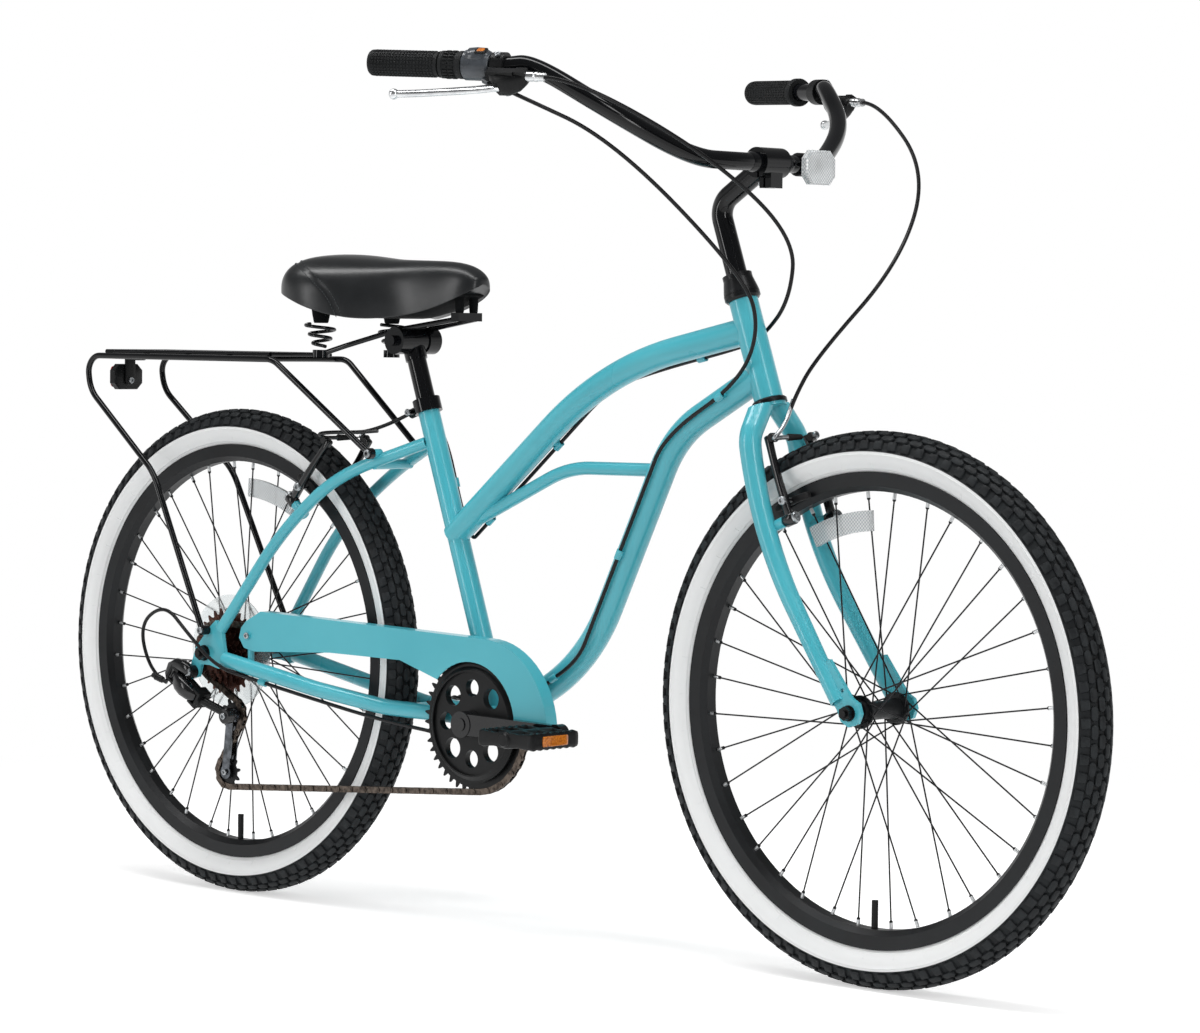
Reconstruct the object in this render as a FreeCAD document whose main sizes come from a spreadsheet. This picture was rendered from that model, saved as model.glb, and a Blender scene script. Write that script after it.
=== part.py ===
import FreeCAD, Part
import math
import os
import re
import Sketcher
from FreeCAD import Vector

# A beach cruiser bicycle. +X points forward, +Y to the rider's left, +Z up.
# The origin is on the ground midway between the wheels. All sizes are in millimetres.

doc = FreeCAD.newDocument("beach_cruiser")
sheet = doc.addObject("Spreadsheet::Sheet", "Sizes")

SIZES = {
    "wheelbase": 1118.0,
    "wheel_radius": 334.0,
    "tyre_section_radius": 26.0,
    "casing_wall": 3.2,
    "bead_radius": 281.0,
    "bead_inner_offset": 9.0,
    "bead_outer_offset": 12.9,
    "rim_flange_radius": 285.5,
    "rim_half_width": 15.5,
    "rim_wall": 2.2,
    "rim_bed_radius": 276.5,
    "rim_inner_radius": 262.0,
    "rim_crown_half_width": 8.0,
    "valve_radius": 4.0,
    "valve_hole_radius": 4.3,
    "valve_tip_radius": 228.0,
    "tube_section_radius": 22.3,
    "tube_wall": 0.9,
    "front_flange_offset": 34.0,
    "front_flange_radius": 20.0,
    "front_hub_waist": 11.0,
    "front_axle_radius": 4.5,
    "front_axle_half_length": 69.0,
    "front_dropout_inner": 50.0,
    "rear_flange_right": 16.0,
    "rear_flange_left": 33.0,
    "rear_flange_radius": 22.0,
    "rear_hub_waist": 14.0,
    "rear_axle_radius": 4.75,
    "rear_axle_half_length": 84.0,
    "rear_dropout_inner": 64.0,
    "dropout_thickness": 6.0,
    "bearing_clearance": 0.05,
    "spoke_radius": 1.0,
    "nipple_radius": 2.2,
    "nipple_length": 11.0,
    "spokes_per_wheel": 36.0,
    "bracket_x": -62.0,
    "bracket_height": 274.0,
    "shell_radius": 20.5,
    "shell_bore": 17.4,
    "shell_width": 68.0,
    "spindle_radius": 8.5,
    "spindle_half_length": 66.0,
    "crank_length": 166.0,
    "crank_inner_offset": 63.0,
    "crank_thickness": 14.0,
    "pedal_spindle_radius": 5.0,
    "pedal_width": 92.0,
    "pedal_length": 88.0,
    "pedal_height": 23.0,
    "chain_pitch": 12.7,
    "chainring_teeth": 44.0,
    "chainring_offset": 47.0,
    "guard_disc_radius": 77.0,
    "head_angle": 70.5,
    "fork_rake": 44.0,
    "head_tube_low": 389.0,
    "head_tube_high": 517.0,
    "head_tube_radius": 18.2,
    "head_tube_bore": 15.2,
    "steerer_radius": 12.7,
    "steerer_bore": 11.15,
    "quill_radius": 11.1,
    "seat_angle": 70.85,
    "seat_tube_radius": 14.3,
    "seat_tube_bore": 12.75,
    "seat_tube_length": 437.0,
    "seatpost_radius": 12.7,
    "top_tube_radius": 17.0,
    "down_tube_radius": 17.4,
    "brace_radius": 8.5,
    "tube_wall_thickness": 1.6,
    "seat_stay_radius": 8.0,
    "chain_stay_radius": 10.5,
    "bar_radius": 11.1,
    "bar_sleeve_radius": 12.7,
    "grip_radius": 16.0,
    "cable_radius": 2.5,
    "rack_rod_radius": 4.2,
    "spring_wire_radius": 2.4,
    "spring_coil_radius": 20.0,
}

for row, (alias, value) in enumerate(SIZES.items(), start=1):
    sheet.set("A%d" % row, alias)
    sheet.set("B%d" % row, str(value))
    sheet.setAlias("B%d" % row, alias)
doc.recompute()


def size(alias):
    return float(sheet.get(alias))


def bound(text):
    def with_sheet(word):
        name = word.group(0)
        return "Sizes." + name if name in SIZES else name

    return re.sub(r"[a-z_]+", with_sheet, text)


def value_of(text):
    """The number that a sum of products of sheet names and plain numbers stands for."""
    total = 0.0
    for sign, term in re.findall(r"([+-]?)\s*([^+-]+)", text):
        product = 1.0
        for factor in term.split("*"):
            name = factor.strip()
            product *= size(name) if name in SIZES else float(name)
        total += -product if sign == "-" else product
    return total


def turned(name, profile, placement=None, hollow=None):
    """A turned piece: its closed profile of (radius, height) terms is revolved about the local Y axis."""
    body = doc.addObject("PartDesign::Body", name)
    sketch = body.newObject("Sketcher::SketchObject", name + "_profile")
    for loop in [profile] + ([hollow] if hollow else []):
        first = sketch.GeometryCount
        points = [Vector(value_of(radius), value_of(height), 0) for radius, height in loop]
        for index, point in enumerate(points):
            following = points[(index + 1) % len(points)]
            sketch.addGeometry(Part.LineSegment(point, following), False)
        for index in range(len(points)):
            edge = first + index
            after = first + (index + 1) % len(points)
            sketch.addConstraint(Sketcher.Constraint("Coincident", edge, 2, after, 1))
        for index, terms in enumerate(loop):
            for kind, term, axis in zip(("DistanceX", "DistanceY"), terms, (-2, -1)):
                if abs(value_of(term)) < 1e-9:
                    sketch.addConstraint(Sketcher.Constraint("PointOnObject", first + index, 1, axis))
                    continue
                row = sketch.addConstraint(
                    Sketcher.Constraint(kind, -1, 1, first + index, 1, value_of(term)))
                sketch.setExpression("Constraints[%d]" % row, bound(term))
    turn = body.newObject("PartDesign::Revolution", name + "_turn")
    turn.Profile = sketch
    turn.ReferenceAxis = (sketch, ["V_Axis"])
    turn.Angle = 360.0
    if placement:
        body.Placement = placement
    return body


def primitive(kind, name, placement=None, **terms):
    piece = doc.addObject(kind, name)
    for prop, term in terms.items():
        piece.setExpression(prop, bound(term))
    if placement:
        piece.Placement = placement
    return piece


def joined(kind, name, base, tool):
    piece = doc.addObject(kind, name)
    piece.Base = base
    piece.Tool = tool
    return piece


def shaped(name, shape):
    piece = doc.addObject("Part::Feature", name)
    piece.Shape = shape
    return piece


def axes(origin, along_x, along_y, along_z):
    matrix = FreeCAD.Matrix(
        along_x.x, along_y.x, along_z.x, origin.x,
        along_x.y, along_y.y, along_z.y, origin.y,
        along_x.z, along_y.z, along_z.z, origin.z,
        0, 0, 0, 1)
    return FreeCAD.Placement(matrix)


def at(x, y, z):
    return FreeCAD.Placement(Vector(x, y, z), FreeCAD.Rotation())


def moved(shape, placement):
    copy = shape.copy()
    copy.Placement = placement.multiply(copy.Placement)
    return copy


def mirrored(shape):
    return shape.mirror(Vector(0, 0, 0), Vector(0, 1, 0))


def rod(start, end, radius):
    return Part.makeCylinder(radius, (end - start).Length, start, end - start)


def block(low, high):
    span = Vector(*high) - Vector(*low)
    return Part.makeBox(span.x, span.y, span.z, Vector(*low))


def outline_plate(points, low_y, high_y):
    corners = [Vector(x, low_y, z) for x, z in points]
    face = Part.Face(Part.makePolygon(corners + corners[:1]))
    return face.extrude(Vector(0, high_y - low_y, 0))


def bent_wire(points, radii):
    """Straight runs joined by tangent arcs: one radius per inner point."""
    corners = [Vector(*point) for point in points]
    edges = []
    start = corners[0]
    for before, corner, after, radius in zip(corners, corners[1:], corners[2:], radii):
        back = (before - corner).normalize()
        ahead = (after - corner).normalize()
        half = back.getAngle(ahead) / 2.0
        reach = radius / math.tan(half)
        first = corner + back * reach
        last = corner + ahead * reach
        inward = (back + ahead).normalize()
        middle = corner + inward * (radius / math.sin(half) - radius)
        if (first - start).Length > 1e-4:
            edges.append(Part.LineSegment(start, first).toShape())
        edges.append(Part.Arc(first, middle, last).toShape())
        start = last
    edges.append(Part.LineSegment(start, corners[-1]).toShape())
    return Part.Wire(edges)


def ring_at_start(wire, radius):
    edge = wire.OrderedEdges[0]
    heading = edge.tangentAt(edge.FirstParameter)
    return Part.Wire(Part.makeCircle(radius, edge.valueAt(edge.FirstParameter), heading))


def swept(points, radii, radius):
    wire = bent_wire(points, radii)
    shell = Part.BRepOffsetAPI.MakePipeShell(wire)
    shell.setTransitionMode(1)
    shell.add(ring_at_start(wire, radius))
    shell.build()
    shell.makeSolid()
    return shell.shape()


def tapered(points, radii, start_radius, end_radius):
    wire = bent_wire(points, radii)
    edge = wire.OrderedEdges[-1]
    ending = Part.Wire(Part.makeCircle(end_radius, edge.valueAt(edge.LastParameter),
                                       edge.tangentAt(edge.LastParameter)))
    shell = Part.BRepOffsetAPI.MakePipeShell(wire)
    shell.add(ring_at_start(wire, start_radius))
    shell.add(ending)
    shell.build()
    shell.makeSolid()
    return shell.shape()


def solids_of(shape):
    return [solid for solid in shape.Solids if solid.Volume > 1.0]


nodes = {}


def node(name, *pieces):
    """One exported piece: its doc objects are gathered under one label."""
    if len(pieces) == 1:
        whole = pieces[0]
    else:
        whole = doc.addObject("Part::Compound", name + "_group")
        whole.Links = list(pieces)
    whole.Label = name
    nodes[name] = whole


# Where the wheels, crank, steering axis and seat tube stand

wheel_height = size("wheel_radius")
front_hub = Vector(size("wheelbase") / 2, 0, wheel_height)
rear_hub = Vector(-size("wheelbase") / 2, 0, wheel_height)
bracket = Vector(size("bracket_x"), 0, size("bracket_height"))
head_angle = math.radians(size("head_angle"))
steer_up = Vector(-math.cos(head_angle), 0, math.sin(head_angle))
steer_ahead = Vector(math.sin(head_angle), 0, math.cos(head_angle))
steer_base = Vector(front_hub.x - size("fork_rake") / math.sin(head_angle), 0, wheel_height)
steer_frame = axes(steer_base, steer_ahead, steer_up, Vector(0, -1, 0))
seat_angle = math.radians(size("seat_angle"))
seat_up = Vector(-math.cos(seat_angle), 0, math.sin(seat_angle))
seat_ahead = Vector(math.sin(seat_angle), 0, math.cos(seat_angle))
seat_frame = axes(bracket, seat_ahead, seat_up, Vector(0, -1, 0))


def steer_point(along, ahead=0.0, side=0.0):
    return steer_base + steer_up * along + steer_ahead * ahead + Vector(0, side, 0)


def seat_point(along, ahead=0.0, side=0.0):
    return bracket + seat_up * along + seat_ahead * ahead + Vector(0, side, 0)


# Wheels: hollow tyre on hooked beads, double-wall rim, inner tube with its valve

def tyre(side_name, hub):
    outer = primitive("Part::Torus", side_name + "_tyre_outside", Radius1="wheel_radius-tyre_section_radius",
                      Radius2="tyre_section_radius")
    inner = primitive("Part::Torus", side_name + "_tyre_inside", Radius1="wheel_radius-tyre_section_radius",
                      Radius2="tyre_section_radius-casing_wall")
    casing = joined("Part::Cut", side_name + "_tyre_casing", outer, inner)
    mouth = primitive("Part::Cylinder", side_name + "_tyre_mouth", at(0, 0, -40),
                      Radius="rim_flange_radius", Height="80")
    open_casing = joined("Part::Cut", side_name + "_tyre_open", casing, mouth)
    beads = []
    for sign, word in ((1, "left"), (-1, "right")):
        low = size("bead_inner_offset") if sign > 0 else -size("bead_outer_offset")
        ring = primitive("Part::Cylinder", side_name + "_bead_ring_" + word, at(0, 0, low),
                         Radius="rim_flange_radius+1.5", Height="bead_outer_offset-bead_inner_offset")
        hole = primitive("Part::Cylinder", side_name + "_bead_hole_" + word, at(0, 0, low),
                         Radius="bead_radius", Height="bead_outer_offset-bead_inner_offset")
        beads.append(joined("Part::Cut", side_name + "_bead_" + word, ring, hole))
    whole = doc.addObject("Part::MultiFuse", side_name + "_tyre_whole")
    whole.Shapes = [open_casing] + beads
    whole.Placement = FreeCAD.Placement(hub, FreeCAD.Rotation(Vector(1, 0, 0), -90))
    return whole


def rim(side_name, hub):
    edge = "rim_half_width"
    wall = "rim_half_width-rim_wall"
    crown = "rim_crown_half_width"
    profile = [
        ("rim_flange_radius", edge), ("rim_bed_radius-8", edge), ("rim_inner_radius", crown),
        ("rim_inner_radius", "-1*" + crown), ("rim_bed_radius-8", "-1*" + edge),
        ("rim_flange_radius", "-1*" + edge), ("rim_flange_radius", "rim_wall-rim_half_width"),
        ("rim_bed_radius+2", "rim_wall-rim_half_width"), ("rim_bed_radius", "-1*bead_inner_offset"),
        ("rim_bed_radius", "bead_inner_offset"), ("rim_bed_radius+2", wall), ("rim_flange_radius", wall)]
    hollow = [
        ("rim_bed_radius-2", "bead_inner_offset"), ("rim_bed_radius-2", "-1*bead_inner_offset"),
        ("rim_bed_radius-7", "rim_wall-rim_half_width"), ("rim_inner_radius+2", "1.2-rim_crown_half_width"),
        ("rim_inner_radius+2", "rim_crown_half_width-1.2"), ("rim_bed_radius-7", wall)]
    hoop = turned(side_name + "_rim_hoop", profile, hollow=hollow)
    hole = primitive("Part::Cylinder", side_name + "_valve_hole", at(0, 0, -300),
                     Radius="valve_hole_radius", Height="60")
    drilled = joined("Part::Cut", side_name + "_rim_drilled", hoop, hole)
    drilled.Placement = FreeCAD.Placement(hub, FreeCAD.Rotation())
    return drilled


def inner_tube(side_name, hub):
    upright = FreeCAD.Rotation(Vector(1, 0, 0), -90)
    outer = primitive("Part::Torus", side_name + "_tube_outside", FreeCAD.Placement(Vector(), upright),
                      Radius1="wheel_radius-tyre_section_radius", Radius2="tube_section_radius")
    air = primitive("Part::Torus", side_name + "_tube_air", FreeCAD.Placement(Vector(), upright),
                    Radius1="wheel_radius-tyre_section_radius", Radius2="tube_section_radius-tube_wall")
    skin = joined("Part::Cut", side_name + "_tube_skin", outer, air)
    stem = primitive("Part::Cylinder", side_name + "_valve_stem", at(0, 0, -286.2),
                     Radius="valve_radius", Height="286.2-valve_tip_radius")
    whole = joined("Part::Fuse", side_name + "_tube_whole", skin, stem)
    whole.Placement = FreeCAD.Placement(hub, FreeCAD.Rotation())
    return whole


def spoke_set(name, hub, left_flange, right_flange, hole_radius):
    """Laced three-cross: heads alternate inside and outside the flange."""
    count = int(size("spokes_per_wheel"))
    step = 2 * math.pi / count
    laced = []
    for index in range(count):
        side = 1 if index % 2 == 0 else -1
        flange = left_flange if side > 0 else right_flange
        place = index // 2
        lead = 1 if place % 2 == 0 else -1
        face = flange + lead * 2.9
        rim_turn = index * step + step / 2 + math.pi / 2
        hub_turn = rim_turn + lead * 6 * step
        rim_reach = size("rim_inner_radius") - 0.1
        start = Vector(hole_radius * math.cos(hub_turn), side * face, hole_radius * math.sin(hub_turn))
        end = Vector(rim_reach * math.cos(rim_turn), side * 3.0, rim_reach * math.sin(rim_turn))
        length = (end - start).Length
        wire_radius = size("spoke_radius")
        nipple = size("nipple_radius")
        shoulder = length - size("nipple_length")
        outline = [Vector(0, 0, 0), Vector(wire_radius, 0, 0), Vector(wire_radius, 0, shoulder),
                   Vector(nipple, 0, shoulder + 1.5), Vector(nipple, 0, length - 0.6),
                   Vector(0, 0, length - 0.6)]
        section = Part.Face(Part.makePolygon(outline + outline[:1]))
        spoke = section.revolve(Vector(0, 0, 0), Vector(0, 0, 1), 360)
        heading = FreeCAD.Rotation(Vector(0, 0, 1), end - start)
        spoke.Placement = FreeCAD.Placement(hub + start, heading)
        laced.append(spoke)
    return shaped(name, Part.Compound(laced))


def spoke_reflector(name, hub, bearing):
    """A curved clear bar clipped between the left and right spokes."""
    outer = Part.makeCylinder(239, 5.6, Vector(0, -2.8, 0), Vector(0, 1, 0))
    inner = Part.makeCylinder(214, 5.6, Vector(0, -2.8, 0), Vector(0, 1, 0))
    sector = outline_plate([(0, 0), (300 * math.sin(-0.21), 300), (300 * math.sin(0.21), 300)], -2.8, 2.8)
    bar = outer.cut(inner).common(sector)
    bar.rotate(Vector(), Vector(0, 1, 0), 90 - bearing)
    bar.translate(hub)
    return shaped(name, bar)


for word, hub in (("front", front_hub), ("rear", rear_hub)):
    node(word + "_tyre", tyre(word, hub))
    node(word + "_rim", rim(word, hub))
    node(word + "_inner_tube", inner_tube(word, hub))

node("front_hub", turned("front_hub_shell", [
    ("front_axle_radius+bearing_clearance", "-1*front_flange_offset-7"),
    ("front_flange_radius-6", "-1*front_flange_offset-7"),
    ("front_flange_radius-5", "-1*front_flange_offset-1.5"),
    ("front_flange_radius", "-1*front_flange_offset-1.5"),
    ("front_flange_radius", "1.5-front_flange_offset"),
    ("front_hub_waist+2", "1.5-front_flange_offset"),
    ("front_hub_waist", "14-front_flange_offset"),
    ("front_hub_waist", "front_flange_offset-14"),
    ("front_hub_waist+2", "front_flange_offset-1.5"),
    ("front_flange_radius", "front_flange_offset-1.5"),
    ("front_flange_radius", "front_flange_offset+1.5"),
    ("front_flange_radius-5", "front_flange_offset+1.5"),
    ("front_flange_radius-6", "front_flange_offset+7"),
    ("front_axle_radius+bearing_clearance", "front_flange_offset+7")], at(front_hub.x, 0, front_hub.z)))

node("rear_hub", turned("rear_hub_shell", [
    ("rear_axle_radius+bearing_clearance", "-1*rear_flange_right-8"),
    ("rear_flange_radius-5.5", "-1*rear_flange_right-8"),
    ("rear_flange_radius-5", "-1*rear_flange_right-1.5"),
    ("rear_flange_radius", "-1*rear_flange_right-1.5"),
    ("rear_flange_radius", "1.5-rear_flange_right"),
    ("rear_hub_waist+2", "1.5-rear_flange_right"),
    ("rear_hub_waist", "12-rear_flange_right"),
    ("rear_hub_waist", "rear_flange_left-12"),
    ("rear_hub_waist+2", "rear_flange_left-1.5"),
    ("rear_flange_radius", "rear_flange_left-1.5"),
    ("rear_flange_radius", "rear_flange_left+1.5"),
    ("rear_flange_radius-5", "rear_flange_left+1.5"),
    ("rear_flange_radius-7", "rear_flange_left+8"),
    ("rear_axle_radius+bearing_clearance", "rear_flange_left+8")], at(rear_hub.x, 0, rear_hub.z)))

node("front_spokes", spoke_set("front_spoke_set", front_hub, size("front_flange_offset"),
                               size("front_flange_offset"), 17.0))
node("rear_spokes", spoke_set("rear_spoke_set", rear_hub, size("rear_flange_left"),
                              size("rear_flange_right"), 19.0))
node("front_spoke_reflector", spoke_reflector("front_reflector_bar", front_hub, 105.0))
node("rear_spoke_reflector", spoke_reflector("rear_reflector_bar", rear_hub, 75.0))

node("spoke_protector", turned("spoke_protector_disc", [
    ("rear_flange_radius-4.95", "-1*rear_flange_right-6.2"), ("64", "-1*rear_flange_right-6.2"),
    ("78", "-1*rear_flange_right-5.2"), ("78", "-1*rear_flange_right-4.2"),
    ("64", "-1*rear_flange_right-5.0"), ("rear_flange_radius-4.95", "-1*rear_flange_right-5.0")],
    at(rear_hub.x, 0, rear_hub.z)))


# Axles with cones and hexagonal nuts

def hexagon_nut(across_flats, low_y, high_y, hole):
    corners = []
    for index in range(7):
        turn = math.pi / 6 + index * math.pi / 3
        reach = across_flats / math.sqrt(3)
        corners.append(Vector(reach * math.cos(turn), low_y, reach * math.sin(turn)))
    face = Part.Face(Part.makePolygon(corners))
    nut = face.extrude(Vector(0, high_y - low_y, 0))
    return nut.cut(Part.makeCylinder(hole, high_y - low_y, Vector(0, low_y, 0), Vector(0, 1, 0)))


def axle(word, hub, cone_right, cone_left, across_flats):
    radius = size(word + "_axle_radius")
    half = size(word + "_axle_half_length")
    inner = size(word + "_dropout_inner")
    outer = inner + size("dropout_thickness")
    shaft = primitive("Part::Cylinder", word + "_axle_shaft",
                      FreeCAD.Placement(hub - Vector(0, half, 0), FreeCAD.Rotation(Vector(1, 0, 0), -90)),
                      Radius=word + "_axle_radius", Height="2*" + word + "_axle_half_length")
    washers = []
    for side, cone in ((-1, cone_right), (1, cone_left)):
        low, high = sorted((side * cone, side * inner))
        spacer = Part.makeCylinder(radius + 3.5, high - low, Vector(0, low, 0), Vector(0, 1, 0))
        spacer = spacer.cut(Part.makeCylinder(radius, high - low, Vector(0, low, 0), Vector(0, 1, 0)))
        low, high = sorted((side * (outer + 1.6), side * (outer + 9.5)))
        nut = hexagon_nut(across_flats, low, high, radius)
        low, high = sorted((side * outer, side * (outer + 1.6)))
        washer = Part.makeCylinder(across_flats * 0.64, high - low, Vector(0, low, 0), Vector(0, 1, 0))
        washer = washer.cut(Part.makeCylinder(radius, high - low, Vector(0, low, 0), Vector(0, 1, 0)))
        for shape in (spacer, nut, washer):
            shape.translate(hub)
            washers.append(shape)
    fittings = shaped(word + "_axle_fittings", Part.Compound(washers))
    node(word + "_axle", shaft, fittings)


axle("front", front_hub, 41.5, 41.5, 15.0)
axle("rear", rear_hub, 61.6, 41.5, 17.0)


# Fork: two raked blades that curve in to the steerer, flat ends and brake bosses

blade_top = steer_point(390)
blade_path = [(blade_top.x, -9, blade_top.z), (391, -46, 655), (412.7, -47, 537.6), (541, -53, 346)]
blade_radii = [38, 500]
blade = tapered(blade_path, blade_radii, 14.5, 10.0)
blade_core = tapered(blade_path, blade_radii, 12.5, 8.2)
above_crown = Part.makeCylinder(70, 70, steer_point(382.2), steer_up)
blade = blade.cut(above_crown)
front_axle_radius = size("front_axle_radius")


def fork_end():
    low = -size("front_dropout_inner") - size("dropout_thickness")
    high = -size("front_dropout_inner")
    tab = outline_plate([(508, 384), (528, 396), (562, 352), (573, 346), (577, 334), (572, 322),
                         (559, 317), (547, 323), (541, 336)], low, high)
    hole_start = Vector(front_hub.x, low - 5, front_hub.z)
    hole = Part.makeCylinder(front_axle_radius, 20, hole_start, Vector(0, 1, 0))
    eyelet = Part.makeCylinder(2.6, 20, Vector(548.3, low - 5, 360.2), Vector(0, 1, 0))
    return tab.cut(hole).cut(eyelet)


front_pivot_base = Vector(427.0, 0, 549.0)
front_pivot_axis = Vector(0.93, 0, 0.3676)
front_arm_up = Vector(-0.3676, 0, 0.93)
boss_offset = 40.0


def brake_boss(base, along, side):
    foot = base + Vector(0, side * boss_offset, 0)
    collar = rod(foot - along * 4, foot + along * 18.5, 7.0)
    pin = rod(foot - along * 4, foot + along * 36, 4.0)
    return collar.fuse(pin)


steerer = Part.makeCylinder(size("steerer_radius"), 158, steer_point(378), steer_up)
steerer_hole = Part.makeCylinder(size("steerer_bore"), 152, steer_point(386), steer_up)
crown_race = Part.makeCylinder(20, 4, steer_point(378.5), steer_up)
fork_shape = blade.fuse([mirrored(blade), steerer, crown_race])
fork_shape = fork_shape.cut(steerer_hole)
for core in (blade_core, mirrored(blade_core)):
    below = core.cut(Part.makeCylinder(40, 60, steer_point(366), steer_up))
    fork_shape = fork_shape.cut(below)
boss = brake_boss(front_pivot_base, front_pivot_axis, -1)
fork_shape = fork_shape.fuse([fork_end(), mirrored(fork_end()), boss, mirrored(boss)])
node("fork", shaped("fork_blades", fork_shape))


# Headset: cups pressed into the head tube, threaded race and locknut above them

lower_cup = turned("lower_cup", [
         ("steerer_radius+0.1", "head_tube_low-6.4"), ("22", "head_tube_low-6.4"), ("22", "head_tube_low-2"),
         ("20", "head_tube_low"), ("head_tube_bore", "head_tube_low"), ("head_tube_bore", "head_tube_low+10"),
         ("steerer_radius+0.1", "head_tube_low+10")], steer_frame)
upper_cup = turned("upper_cup", [
         ("steerer_radius+0.1", "head_tube_high-10"), ("head_tube_bore", "head_tube_high-10"),
         ("head_tube_bore", "head_tube_high"), ("20", "head_tube_high"), ("22.5", "head_tube_high+3"),
         ("22.5", "head_tube_high+8"), ("steerer_radius+0.1", "head_tube_high+8")], steer_frame)
node("headset_locknut", turned("locknut_stack", [
    ("steerer_radius", "head_tube_high+8.4"), ("22.5", "head_tube_high+8.4"), ("21.5", "head_tube_high+14"),
    ("18.5", "head_tube_high+27"), ("18.5", "head_tube_high+33"), ("steerer_radius", "head_tube_high+33")],
    steer_frame))


# Stem and handlebar

clamp_centre = Vector(376, 0, 989)
stem_bend = steer_point(641)
quill = Part.makeCylinder(size("quill_radius"), 172, steer_point(462), steer_up)
riser = swept([tuple(steer_point(551)), tuple(stem_bend), tuple(clamp_centre - Vector(14, 0, 9))], [26], 13.2)
sleeve = Part.makeCylinder(18.5, 46, clamp_centre - Vector(0, 23, 0), Vector(0, 1, 0))
ear = block((clamp_centre.x - 4, -11, clamp_centre.z - 31), (clamp_centre.x + 14, 11, clamp_centre.z - 8))
stem_shape = quill.fuse([riser, sleeve, ear])
bar_hole = Part.makeCylinder(size("bar_sleeve_radius"), 60, clamp_centre - Vector(0, 30, 0), Vector(0, 1, 0))
stem_shape = stem_shape.cut(bar_hole)
clamp_slot = block((clamp_centre.x + 2, -30, clamp_centre.z - 40),
                   (clamp_centre.x + 5, 30, clamp_centre.z - 6))
stem_shape = stem_shape.cut(clamp_slot)
stem_bolt = rod(Vector(clamp_centre.x - 4.2, 0, clamp_centre.z - 24.5),
                Vector(clamp_centre.x - 9, 0, clamp_centre.z - 24.5), 6)
node("stem", shaped("stem_body", stem_shape), shaped("stem_clamp_bolt", stem_bolt))

lower_bend = Vector(382, 123, 987)
upper_bend = Vector(242, 291, 1092)
bar_end = Vector(59, 356, 1099.5)
bar_path = [tuple(clamp_centre), tuple(lower_bend), tuple(upper_bend), tuple(bar_end)]
right_half = [(x, -y, z) for x, y, z in reversed(bar_path[1:])]
full_path = right_half + [tuple(lower_bend), tuple(upper_bend), tuple(bar_end)]
bar_radii = [50, 95, 95, 50]
bar_outside = swept(full_path, bar_radii, size("bar_radius"))
bar_inside = swept(full_path, bar_radii, size("bar_radius") - 1.8)
middle = Vector(lower_bend.x, 0, lower_bend.z)
bar_sleeve = Part.makeCylinder(size("bar_sleeve_radius"), 64, middle - Vector(0, 32, 0), Vector(0, 1, 0))
shift = clamp_centre - middle
bar_shape = bar_outside.fuse(bar_sleeve).cut(bar_inside)
bar_shape.translate(Vector(shift.x, 0, shift.z))
node("handlebar", shaped("bar_tube", bar_shape))

# Controls are laid out along the grip: distance from the bar's end, outward reach, and across

bar_end = bar_end + Vector(shift.x, 0, shift.z)
upper_bend = upper_bend + Vector(shift.x, 0, shift.z)
grip_along = (upper_bend - bar_end).normalize()
outboard = Vector(-grip_along.y, grip_along.x, 0).normalize()
lever_reach = outboard * math.cos(math.radians(29)) + Vector(0, 0, -1) * math.sin(math.radians(29))
lever_reach = (lever_reach - grip_along * lever_reach.dot(grip_along)).normalize()
lever_across = grip_along.cross(lever_reach)
grip_frame = axes(bar_end, grip_along, lever_reach, lever_across)


def along_grip(start, end, radius, bore):
    ring = Part.makeCylinder(radius, end - start, Vector(start, 0, 0), Vector(1, 0, 0))
    return ring.cut(Part.makeCylinder(bore, end - start, Vector(start, 0, 0), Vector(1, 0, 0)))


bar_fit = size("bar_radius")
left_grip = along_grip(0, 116, size("grip_radius"), bar_fit)
left_grip = left_grip.fuse(along_grip(108, 118, 19, bar_fit))
left_grip = left_grip.fuse(Part.makeCylinder(size("grip_radius"), 3.5, Vector(-3.5, 0, 0), Vector(1, 0, 0)))
right_grip = along_grip(0, 90, size("grip_radius"), bar_fit)
right_grip = right_grip.fuse(Part.makeCylinder(size("grip_radius"), 3.5, Vector(-3.5, 0, 0), Vector(1, 0, 0)))
node("grips", shaped("left_grip", moved(left_grip, grip_frame)),
     shaped("right_grip", mirrored(moved(right_grip, grip_frame))))

twist = along_grip(91, 121.5, 17.2, bar_fit + 0.06)
node("twist_shifter", shaped("twist_sleeve", mirrored(moved(twist, grip_frame))))
housing = along_grip(122, 157, 18.5, bar_fit)
gauge = Part.makeCylinder(13, 34, Vector(122.5, 0, 9), Vector(1, 0, 0))
gauge = gauge.cut(Part.makeCylinder(bar_fit, 60, Vector(110, 0, 0), Vector(1, 0, 0)))
housing = housing.fuse(gauge)
outlet = rod(Vector(150, 14, -12), Vector(166, 20, -15), 4.5)
housing = housing.fuse(outlet.cut(Part.makeCylinder(18.4, 60, Vector(110, 0, 0), Vector(1, 0, 0))))
node("shifter_housing", shaped("shifter_case", mirrored(moved(housing, grip_frame))))

lever_pivot = Vector(186, 30, 0)


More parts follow.
